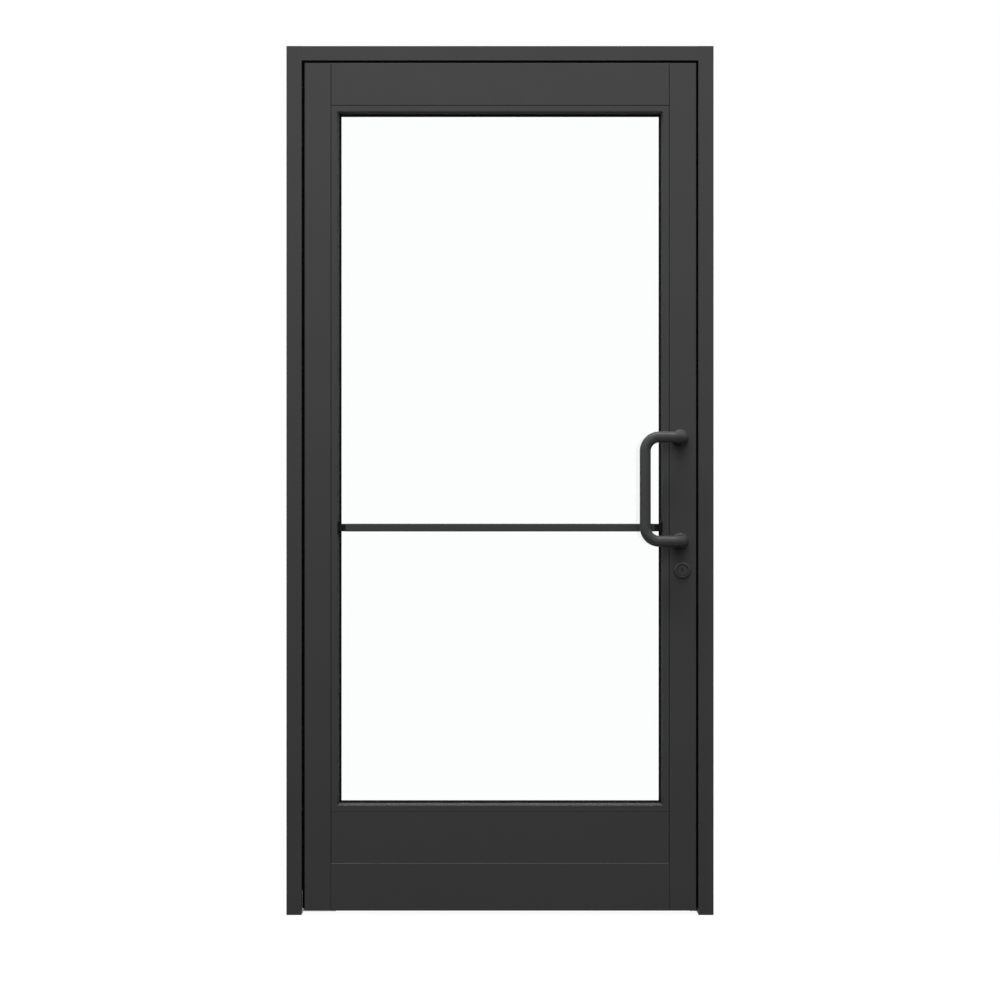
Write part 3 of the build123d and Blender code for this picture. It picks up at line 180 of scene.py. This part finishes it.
matt = add(tree, "ShaderNodeBsdfDiffuse", {}, {"Color": shade.outputs[2]})
glow = add(tree, "ShaderNodeEmission", {}, {"Color": linear(STUDIO_WHITE)})
both = add(tree, "ShaderNodeMixShader", {}, {0: share.outputs[0], 1: matt.outputs[0], 2: glow.outputs[0]})
add(tree, "ShaderNodeOutputMaterial", {}, {"Surface": both.outputs[0]})
floor.data.materials.append(paper)
print("floor", 2 * FLOOR_RADIUS, "m across")

# %% [markdown]
# The photograph's light comes from high in front and a little from the left: ledges that look up are two or three
# times as bright as the faces, and the faces darken evenly from head to foot. One wide softbox far up gives that. The
# soft shadow close under the pull's arms needs some light from the front as well, from a lamp that is kept out of
# reflections so that the glass stays clear. A third one lights the back, which the photograph does not show.

# %% Lamps
def softbox(name, place, target, size, watts):
    """An area lamp, so wide and so deep, that points at a place on the door."""
    bpy.ops.object.light_add(type="AREA", location=place)
    lamp = bpy.context.object
    lamp.name = name
    lamp.data.shape = "RECTANGLE"
    lamp.data.size, lamp.data.size_y = size
    lamp.data.energy = watts
    lamp.rotation_euler = (Vector(target) - Vector(place)).to_track_quat("-Z", "Y").to_euler()
    lamp.visible_camera = lamp.visible_transmission = False
    return lamp


softbox("key_lamp", place=(-0.3, -1.4, 6.9), target=(0, 0, 1.0), size=(5.0, 2.4), watts=750)
fill = softbox("front_lamp", place=(-0.2, -3.0, 2.3), target=(0, 0, 1.3), size=(2.6, 2.0), watts=66)
fill.visible_glossy = False
softbox("back_lamp", place=(1.0, 4.5, 4.5), target=(0, 0, 1.2), size=(3.0, 3.0), watts=320)
print("three lamps")

# %% [markdown]
# The frame and the leaf are extruded aluminium with a polyester powder coat, sprayed on dry and baked. It gives the eye
# a deep, even charcoal with a satin sheen, and close up the faint ripple called orange peel and a fine pale speckle. A
# noise of about the ripple's real size drives the bump, a finer one the speckle and the sheen, and a much larger one
# moves the tone by a hair. The speckle is drawn a little coarser than real, because it would not show otherwise.
# The gloss is the share of the usual reflection that is left: the studio is white all round, and a full reflection of
# it would wash the charcoal out.

# %% Powder coat
PEEL_MM = 2.2
GRAIN_MM = 0.5
CLOUD_MM = 180.0
PEEL_DEPTH = 0.09 * MM
SPECKLE = "5a5a5b"
SPECKLE_SHARE = 0.22
SPECKLE_STARTS, SPECKLE_FULL = 0.5, 0.8
SHEEN_SPREAD = 0.08
RUBBED_SMOOTHER = 0.09
COAT_IOR = 1.5


def powder_coat(name, colour, second, roughness, peel, gloss, handled=None):
    """Baked powder coat: a clouded, speckled tone, orange peel, and a sheen that hands have polished at one height."""
    material, tree, place = new_finish(name)
    cloud = add(tree, "ShaderNodeTexNoise", {}, {"Vector": place, "Scale": per_metre(CLOUD_MM), "Detail": 3.0})
    ripple = add(tree, "ShaderNodeTexNoise", {}, {"Vector": place, "Scale": per_metre(PEEL_MM), "Detail": 1.0})
    grain = add(tree, "ShaderNodeTexNoise", {}, {"Vector": place, "Scale": per_metre(GRAIN_MM), "Detail": 2.0})
    tone = add(tree, "ShaderNodeMix", {"data_type": "RGBA"},
               {0: cloud.outputs[0], 6: linear(colour), 7: linear(second)})
    dots = add(tree, "ShaderNodeMapRange", {},
               {"Value": grain.outputs[0], "From Min": SPECKLE_STARTS, "From Max": SPECKLE_FULL,
                "To Max": SPECKLE_SHARE})
    speckled = add(tree, "ShaderNodeMix", {"data_type": "RGBA"},
                   {0: dots.outputs[0], 6: tone.outputs[2], 7: linear(SPECKLE)})
    sheen = add(tree, "ShaderNodeMapRange", {},
                {"Value": grain.outputs[0], "To Min": roughness - SHEEN_SPREAD, "To Max": roughness + SHEEN_SPREAD})
    if handled:
        middle, reach = handled
        height = add(tree, "ShaderNodeSeparateXYZ", {}, {0: place})
        off = add(tree, "ShaderNodeMath", {"operation": "SUBTRACT"}, {0: height.outputs["Z"], 1: middle})
        away = add(tree, "ShaderNodeMath", {"operation": "ABSOLUTE"}, {0: off.outputs[0]})
        rubbed = add(tree, "ShaderNodeMapRange", {"interpolation_type": "SMOOTHSTEP"},
                     {"Value": away.outputs[0], "From Min": 0.0, "From Max": reach,
                      "To Min": RUBBED_SMOOTHER, "To Max": 0.0})
        sheen = add(tree, "ShaderNodeMath", {"operation": "SUBTRACT"}, {0: sheen.outputs[0], 1: rubbed.outputs[0]})
    bump = add(tree, "ShaderNodeBump", {}, {"Height": ripple.outputs[0], "Strength": peel, "Distance": PEEL_DEPTH})
    shader = add(tree, "ShaderNodeBsdfPrincipled", {}, {
        "Base Color": speckled.outputs[2], "Roughness": sheen.outputs[0], "IOR": COAT_IOR,
        "Specular IOR Level": gloss, "Normal": bump.outputs[0]})
    finish_surface(tree, shader)
    return material


# Satin charcoal, even over the long frame.
frame_coat = powder_coat("frame_powder_coat", "343434", "383838", roughness=0.42, peel=0.5, gloss=0.05)
# The same coat from another batch, a hair lighter.
leaf_coat = powder_coat("leaf_powder_coat", "353535", "383838", roughness=0.42, peel=0.5, gloss=0.05)
# Small parts get a smoother coat, with a clearer highlight.
hardware_coat = powder_coat("hardware_powder_coat", "343435", "3a3a3b", roughness=0.36, peel=0.5, gloss=0.07)
# On the pull, hands have polished the middle of the grip.
pull_low, pull_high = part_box("pull_handle")
pull_coat = powder_coat("handled_powder_coat", "343435", "3a3a3b", roughness=0.36, peel=0.4, gloss=0.07,
                        handled=((pull_low.z + pull_high.z) / 2, (pull_high.z - pull_low.z) / 2))
print("four powder coats")

# %% [markdown]
# Aluminium that no one sees is left as it came from the press: pale grey, with fine lines along the way it was pushed
# out. Zinc plated steel is bluer and smoother, machined steel darker with turning marks. All of them are metals, so
# their colour is in the reflection. Black phosphate and the paint on cast iron cover their metal, so those two are not.

# %% Metals
METAL_SHEEN_SPREAD = 0.1
MARK_STRENGTH = 0.3


def bare_metal(name, colour, second, roughness, mark_mm, stretch, metallic=1.0, depth_mm=0.03):
    """A metal whose marks are noise pulled out along one direction."""
    material, tree, place = new_finish(name)
    pulled = add(tree, "ShaderNodeMapping", {}, {"Vector": place, "Scale": stretch})
    marks = add(tree, "ShaderNodeTexNoise", {},
                {"Vector": pulled.outputs[0], "Scale": per_metre(mark_mm), "Detail": 4.0})
    tone = add(tree, "ShaderNodeMix", {"data_type": "RGBA"},
               {0: marks.outputs[0], 6: linear(colour), 7: linear(second)})
    sheen = add(tree, "ShaderNodeMapRange", {},
                {"Value": marks.outputs[0], "To Min": roughness - METAL_SHEEN_SPREAD,
                 "To Max": roughness + METAL_SHEEN_SPREAD})
    bump = add(tree, "ShaderNodeBump", {},
               {"Height": marks.outputs[0], "Strength": MARK_STRENGTH, "Distance": depth_mm * MM})
    shader = add(tree, "ShaderNodeBsdfPrincipled", {}, {
        "Base Color": tone.outputs[2], "Roughness": sheen.outputs[0], "Metallic": metallic,
        "Normal": bump.outputs[0]})
    finish_surface(tree, shader)
    return material


EVEN = (1, 1, 1)
# Pale grey with long lines from the die.
mill_aluminium = bare_metal("mill_finish_aluminium", "c4c5c7", "d2d3d5", roughness=0.35, mark_mm=0.8,
                            stretch=(0.02, 1, 1))
# Bluish and bright, with the soft spangle of the bath.
zinc_plate = bare_metal("zinc_plated_steel", "b9bec4", "cdd1d6", roughness=0.3, mark_mm=1.5, stretch=EVEN)
# Darker grey with the marks of the tool.
machined_steel = bare_metal("machined_steel", "8d8f92", "a3a5a8", roughness=0.32, mark_mm=0.5, stretch=(1, 1, 0.2))
# A dull black skin, from a bath, on screws.
blackened_steel = bare_metal("black_phosphate_steel", "17181a", "222326", roughness=0.5, mark_mm=0.6, stretch=EVEN,
                             metallic=0.0)
# Sand casting shows through the dark grey paint.
painted_iron = bare_metal("painted_cast_iron", "2e3032", "3a3c3e", roughness=0.6, mark_mm=2.0, stretch=EVEN,
                          metallic=0.0, depth_mm=0.2)
# Pressed powder: warm brown, and duller than cast bronze.
bearing_bronze = bare_metal("sintered_bronze", "9a7440", "b0884e", roughness=0.45, mark_mm=0.4, stretch=EVEN)
print("six metals")

# %% [markdown]
# The soft parts are EPDM rubber, a foam tape with open cells and a woven pile strip. The clips of the muntin bar are
# moulded nylon. A near-black strip in the joints round the glass is painted shade, the shadow of the joints' grooves.
# All are black and dull, and differ in grain, depth and roughness.

# %% Rubber, foam, pile, nylon and painted joint shade
SOFT_IOR = 1.5
SOFT_GLOSS = 0.04
GRAIN_STRENGTH = 0.6


def soft_black(name, colour, second, roughness, grain_mm, depth_mm):
    """A dull black material with a grain of its own size."""
    material, tree, place = new_finish(name)
    grain = add(tree, "ShaderNodeTexNoise", {}, {"Vector": place, "Scale": per_metre(grain_mm), "Detail": 3.0})
    tone = add(tree, "ShaderNodeMix", {"data_type": "RGBA"},
               {0: grain.outputs[0], 6: linear(colour), 7: linear(second)})
    bump = add(tree, "ShaderNodeBump", {},
               {"Height": grain.outputs[0], "Strength": GRAIN_STRENGTH, "Distance": depth_mm * MM})
    shader = add(tree, "ShaderNodeBsdfPrincipled", {}, {
        "Base Color": tone.outputs[2], "Roughness": roughness, "IOR": SOFT_IOR, "Specular IOR Level": SOFT_GLOSS,
        "Normal": bump.outputs[0]})
    finish_surface(tree, shader)
    return material


# Extruded rubber, nearly black and slightly dusty.
epdm_rubber = soft_black("epdm_rubber", "070707", "0e0e0e", roughness=0.75, grain_mm=0.5, depth_mm=0.05)
# Cut foam: open cells, each with its own small shadow.
foam_tape = soft_black("foam_glazing_tape", "121212", "242424", roughness=0.95, grain_mm=0.8, depth_mm=0.4)
# Fibres on end, which swallow the light.
woven_pile = soft_black("woven_pile", "060606", "121213", roughness=0.95, grain_mm=0.25, depth_mm=0.3)
# Smooth from the mould, with a soft highlight.
moulded_nylon = soft_black("moulded_nylon", "101012", "161617", roughness=0.5, grain_mm=0.3, depth_mm=0.02)
# Painted shade: a near-black strip that stands for the shadow in the groove of a joint, with a grain that waves a
# little.
joint_shade_black = soft_black("joint_shade_black", "0a0a0a", "101010", roughness=0.55, grain_mm=1.2, depth_mm=0.03)
print("five soft blacks")

# %% [markdown]
# Float glass is clear, with a green cast that shows when it is seen along the sheet. Straight on it lets the white
# behind it through, so the shader is a dielectric with hardly any roughness, and its colour leans to green by a hair.
# A breath of haze, larger than a hand, keeps its reflections from being perfect.

# %% Glass
HAZE_MM = 220.0
HAZE_MOST = 0.02
GLASS_IOR = 1.52


def float_glass():
    """Clear dielectric with a faint green body and a breath of haze."""
    material, tree, place = new_finish("clear_float_glass")
    film = add(tree, "ShaderNodeTexNoise", {}, {"Vector": place, "Scale": per_metre(HAZE_MM), "Detail": 4.0})
    haze = add(tree, "ShaderNodeMapRange", {}, {"Value": film.outputs[0], "To Min": 0.0, "To Max": HAZE_MOST})
    shader = add(tree, "ShaderNodeBsdfPrincipled", {}, {
        "Base Color": linear("fcfefd"), "Roughness": haze.outputs[0], "IOR": GLASS_IOR, "Transmission Weight": 1.0})
    finish_surface(tree, shader)
    return material


clear_glass = float_glass()
print(clear_glass.name)

# %% [markdown]
# The record of the CAD model names a material slot for each piece. Each slot gets one of the finishes above. Only the
# pull has a finish of its own, because hands have polished it.

# %% Give every CAD piece its finish
FINISH_OF_SLOT = {
    "frame_extrusion": frame_coat, "leaf_extrusion": leaf_coat, "hardware_coat": hardware_coat,
    "mill_aluminium": mill_aluminium, "zinc_steel": zinc_plate, "plain_steel": machined_steel,
    "closer_iron": painted_iron, "black_steel": blackened_steel, "bearing_bronze": bearing_bronze,
    "black_rubber": epdm_rubber, "foam_tape": foam_tape, "pile": woven_pile, "clip_black": moulded_nylon,
    "clear_glass": clear_glass,
}
for part in frame["record"]["subparts"]:
    piece = nodes[part["node"]]
    finish = pull_coat if part["node"] == "pull_handle" else FINISH_OF_SLOT[part["material_slot"]]
    if not piece.material_slots:
        piece.data.materials.append(finish)
    for slot in piece.material_slots:
        slot.material = finish
print(len(FINISH_OF_SLOT), "slots have a finish")

# %% [markdown]
# A few pieces are easier to shape here than in CAD. They are made as by hand: a primitive is put in its place, its
# edges or faces are picked by where they are, and edit-mode tools shape it. Three helpers start, pick and close.

# %% Helpers for shaping
SMOOTH_BELOW = 40.0


def start_piece(name, add_primitive, **place):
    """Adds a primitive with nothing else selected, and bakes its place into its mesh."""
    bpy.ops.object.select_all(action="DESELECT")
    add_primitive(**place)
    piece = bpy.context.object
    piece.name = name
    bpy.ops.object.transform_apply(location=True, rotation=True, scale=True)
    return piece


def pick(piece, kind, test):
    """In edit mode, selects the edges or faces that pass a test, and returns how many did."""
    bpy.ops.object.mode_set(mode="EDIT")
    bpy.ops.mesh.select_mode(type=kind)
    bpy.ops.mesh.select_all(action="DESELECT")
    shape = bmesh.from_edit_mesh(piece.data)
    found = [item for item in {"EDGE": shape.edges, "FACE": shape.faces}[kind] if test(item)]
    for item in found:
        item.select_set(True)
    bmesh.update_edit_mesh(piece.data)
    return len(found)


def close_piece(piece, finish, body, smooth_below=SMOOTH_BELOW):
    """Leaves edit mode, smooths the round faces, and gives the piece its finish, body and slot."""
    bpy.ops.object.mode_set(mode="OBJECT")
    bpy.ops.object.select_all(action="DESELECT")
    piece.select_set(True)
    bpy.context.view_layer.objects.active = piece
    bpy.ops.object.shade_smooth_by_angle(angle=math.radians(smooth_below))
    piece.data.materials.clear()
    piece.data.materials.append(finish)
    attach(piece, body)
    print(piece.name, len(piece.data.polygons), "faces")

# %% [markdown]
# The stiles, the rails and the glazing stops only butt against each other, and their rounded edges leave a small
# groove at each joint, whose shadow draws a dark hairline down both sides of the glass. That shadow is painted: a
# near-black strip lies in each groove, a hair proud of the faces. Each strip is a long bar in the groove. Its two outer
# edges are beveled round, so that it meets the metal in a soft line.

# %% Painted joint shade
SHADE_STRIP_PROUD = 0.12 * MM
SHADE_STRIP_DEEP = 0.5 * MM
SHADE_STRIP_ROUND = 0.45 * MM
SHADE_STRIP_ROUND_MOST = 0.4
SHADE_STRIP_STEPS = 3
SHADE_STRIP_END = 1.5 * MM
UPRIGHT_SHADE_STRIP = 2.0 * MM
RAIL_SHADE_STRIP = 2.0 * MM
FOOT_SHADE_STRIP = 0.8 * MM

stile_low, stile_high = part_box("hinge_stile")
stops_low, stops_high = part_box("front_level_glazing_stops")
joint_left, joint_right = stops_low.x, stops_high.x
shade_strips = {
    "left": (joint_left, joint_left, stile_low.z + SHADE_STRIP_END, stile_high.z - SHADE_STRIP_END, UPRIGHT_SHADE_STRIP),
    "right": (joint_right, joint_right, stile_low.z + SHADE_STRIP_END, stile_high.z - SHADE_STRIP_END, UPRIGHT_SHADE_STRIP),
    "top": (joint_left, joint_right, stops_high.z, stops_high.z, RAIL_SHADE_STRIP),
    "bottom": (joint_left, joint_right, stops_low.z, stops_low.z, FOOT_SHADE_STRIP),
}
for side, face in (("front", stile_low.y), ("back", stile_high.y)):
    out = math.copysign(1, face)
    outer, inner = face + out * SHADE_STRIP_PROUD, face - out * SHADE_STRIP_DEEP
    for name, (x0, x1, z0, z1, width) in shade_strips.items():
        across = (width, 0) if x0 == x1 else (0, width)
        size = (x1 - x0 + across[0], abs(outer - inner), z1 - z0 + across[1])
        middle = ((x0 + x1) / 2, (outer + inner) / 2, (z0 + z1) / 2)
        shade_strip = start_piece(f"{side}_{name}_joint_shade_strip", bpy.ops.mesh.primitive_cube_add,
                           size=1, location=middle, scale=size)
        edges = pick(shade_strip, "EDGE", lambda edge: edge.calc_length() > 2 * width
                     and all(vert.co.y * out > abs(face) for vert in edge.verts))
        bpy.ops.mesh.bevel(offset=min(SHADE_STRIP_ROUND, SHADE_STRIP_ROUND_MOST * width), segments=SHADE_STRIP_STEPS, profile=0.5)
        # The near-black finish paints the groove's shadow onto the strip.
        close_piece(shade_strip, joint_shade_black, "leaf")
print(edges, "edges rounded on each bead")

# %% [markdown]
# The collars of the lock cylinders are turned brass rings under a dark coat. A lathe leaves their front edge fully
# rounded, which catches the lamp as a bright crescent, and a fine step where the ring ends and the cylinder starts. A
# disc is bored by an inset and an extrusion, and its front edge is beveled round in several steps. The second collar
# is the same ring, mirrored to the back of the leaf.

# %% Cylinder collars
COLLAR_SIDES = 96
COLLAR_ROUND = 4.6 * MM
COLLAR_ROUND_STEPS = 8
COLLAR_STEP = 0.5 * MM
COLLAR_STEP_STEPS = 2
BORE_SPARE = 0.2 * MM
BORE_REACH = 0.3 * MM
BORE_FLOOR = 0.5 * MM
SAME_PLANE = 0.01 * MM
RIM_SHARE = 0.99
COLLAR_SMOOTH_BELOW = 50.0

ring_low, ring_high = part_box("cylinder_collars")
barrel_low, barrel_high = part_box("outer_cylinder")
ring_middle = (ring_low + ring_high) / 2
ring_radius = (ring_high.x - ring_low.x) / 2
barrel_radius = (barrel_high.x - barrel_low.x) / 2
rise = stile_low.y - ring_low.y

collars = start_piece("turned_cylinder_collars", bpy.ops.mesh.primitive_cylinder_add,
                      vertices=COLLAR_SIDES, radius=ring_radius, depth=rise, rotation=(math.pi / 2, 0, 0),
                      location=(ring_middle.x, stile_low.y - rise / 2, ring_middle.z))


def in_front(element):
    """True for a face or edge that lies in the collar's front plane."""
    return all(abs(vert.co.y - ring_low.y) < SAME_PLANE for vert in element.verts)


pick(collars, "FACE", in_front)
bpy.ops.mesh.inset(thickness=ring_radius - barrel_radius - BORE_SPARE)
bpy.ops.mesh.extrude_region_move(TRANSFORM_OT_translate={"value": (0, rise - BORE_FLOOR, 0)})
pick(collars, "EDGE", lambda edge: in_front(edge) and all(
    (vert.co - ring_middle).xz.length > RIM_SHARE * ring_radius for vert in edge.verts))
bpy.ops.mesh.bevel(offset=COLLAR_ROUND, segments=COLLAR_ROUND_STEPS, profile=0.5)
pick(collars, "EDGE", lambda edge: in_front(edge) and all(
    (vert.co - ring_middle).xz.length < barrel_radius + BORE_REACH for vert in edge.verts))
bpy.ops.mesh.bevel(offset=COLLAR_STEP, segments=COLLAR_STEP_STEPS, profile=0.5)
bpy.ops.object.mode_set(mode="OBJECT")
mirror = collars.modifiers.new("other_side", "MIRROR")
mirror.use_axis = (False, True, False)
mirror.use_mirror_merge = False
bpy.ops.object.modifier_apply(modifier=mirror.name)
close_piece(collars, hardware_coat, "leaf", COLLAR_SMOOTH_BELOW)
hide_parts("cylinder_collars")

# %% [markdown]
# The round heel of the leaf runs past the jamb with a gap, and a pile strip closes it against draught. The strip is a
# woven foot that slides into the heel's slot, with rows of fibre tufts on it and a thin plastic fin between the rows,
# which stops what the tufts let through. The foot starts as a bar, and insets and extrusions raise its middle and the
# fin. One tuft is a five-sided cone that spreads towards its tip, where an inset face is pushed in a little, like the
# end of a cut brush. Two array modifiers repeat it, first across the strip and then all the way along.

# %% Pile strips
FOOT_THICK = 1.5 * MM
FOOT_RAISE = 0.6 * MM
FOOT_MARGIN = 1.7 * MM
FIN_THICK = 0.2 * MM
TUFT_STEP = 2.0 * MM
TUFT_ROWS_APART = 1.7 * MM
TUFT_ROOT = 0.6 * MM
TUFT_TIP = 0.72 * MM
TUFT_SIDES = 5
TUFT_RIM = TUFT_TIP / 3
TUFT_HOLLOW = TUFT_TIP
TUFT_CLEAR = 0.1 * MM
SURELY = 0.9


def turned_left(side):
    """True for a face that looks towards -X."""
    return side.normal.x < -SURELY


def pile_strip(name, width, height, length, place, turn, body):
    """A strip that stands up from its foot towards -X and runs up along Z, then turned and moved into its place."""
    strip = start_piece(name, bpy.ops.mesh.primitive_cube_add, size=1, scale=(FOOT_THICK, width, length),
                        location=(-FOOT_THICK / 2, 0, length / 2))
    pick(strip, "FACE", turned_left)
    bpy.ops.mesh.inset(thickness=FOOT_MARGIN)
    bpy.ops.mesh.extrude_region_move(TRANSFORM_OT_translate={"value": (-FOOT_RAISE, 0, 0)})
    fin_margin = width / 2 - FOOT_MARGIN - FIN_THICK / 2
    raised_length = length - 2 * FOOT_MARGIN
    bpy.ops.mesh.inset(thickness=fin_margin)
    bpy.ops.transform.resize(value=(1, 1, (raised_length - 2 * FIN_THICK) / (raised_length - 2 * fin_margin)),
                             center_override=(0, 0, length / 2))
    bpy.ops.mesh.extrude_region_move(TRANSFORM_OT_translate={"value": (FOOT_THICK + FOOT_RAISE - height, 0, 0)})
    bpy.ops.object.mode_set(mode="OBJECT")

    tuft_length = height - FOOT_THICK
    tuft = start_piece("tuft", bpy.ops.mesh.primitive_cone_add, vertices=TUFT_SIDES, radius1=TUFT_ROOT,
                       radius2=TUFT_TIP, depth=tuft_length, rotation=(0, -math.pi / 2, 0),
                       location=(-FOOT_THICK - tuft_length / 2, -TUFT_ROWS_APART / 2, TUFT_STEP))
    pick(tuft, "FACE", turned_left)
    bpy.ops.mesh.inset(thickness=TUFT_RIM)
    bpy.ops.transform.translate(value=(TUFT_HOLLOW, 0, 0))
    bpy.ops.object.mode_set(mode="OBJECT")
    tufts = int(length / TUFT_STEP) - 1
    for step, count in (((0, TUFT_ROWS_APART, TUFT_STEP / 2), 2), ((0, 0, TUFT_STEP), tufts)):
        rows = tuft.modifiers.new("rows", "ARRAY")
        rows.use_relative_offset = False
        rows.use_constant_offset = True
        rows.constant_offset_displace = step
        rows.count = count
        bpy.ops.object.modifier_apply(modifier=rows.name)
    strip.select_set(True)
    bpy.context.view_layer.objects.active = strip
    bpy.ops.object.join()
    strip.location, strip.rotation_euler = place, turn
    bpy.ops.object.transform_apply(location=True, rotation=True, scale=True)
    close_piece(strip, woven_pile, body)
    print(2 * tufts, "tufts")
    return strip

# %% [markdown]
# The heel's strip takes its width and the place of its foot from the CAD strip, and it is put in the place of that one.
# Its tufts and its fin reach nearly to the jamb, and it runs on above the leaf up to the header, because in the
# photograph no light comes through the gap, not even at the corner.

# %% Heel pile
pile_low, pile_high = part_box("heel_pile")
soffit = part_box("header_filler")[0].z
heel_strip = pile_strip("woven_heel_pile", pile_high.y - pile_low.y,
                        pile_high.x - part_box("hinge_jamb")[1].x - TUFT_CLEAR, soffit - pile_low.z - TUFT_CLEAR,
                        (pile_high.x, (pile_low.y + pile_high.y) / 2, pile_low.z), (0, 0, 0), "leaf")
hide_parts("heel_pile")

# %% [markdown]
# At the head the stop ends where the heel of the leaf swings back past it, and the gap above the leaf would be open
# there. In the photograph it is as black as the rest. A pile strip with a sticky foot is what fitters put there: it
# hangs from the underside of the header, just inside the face of the leaf and in front of the closer's spindle, and the
# leaf's top passes under it. It starts at the jamb and runs a little past the end of the stop.

# %% Head pile
HEAD_PILE_WIDTH = 7.0 * MM
HEAD_PILE_INSIDE = 3.2 * MM
HEAD_PILE_OVERLAP = 40.0 * MM
HEAD_PILE_END = 0.5 * MM

head_pile_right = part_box("head_stop")[0].x + HEAD_PILE_OVERLAP
head_pile_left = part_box("hinge_jamb")[1].x + HEAD_PILE_END
pile_strip("woven_head_pile", HEAD_PILE_WIDTH, soffit - stile_high.z - TUFT_CLEAR, head_pile_right - head_pile_left,
           (head_pile_right, stile_low.y + HEAD_PILE_INSIDE + HEAD_PILE_WIDTH / 2, soffit),
           (0, -math.pi / 2, 0), "frame")
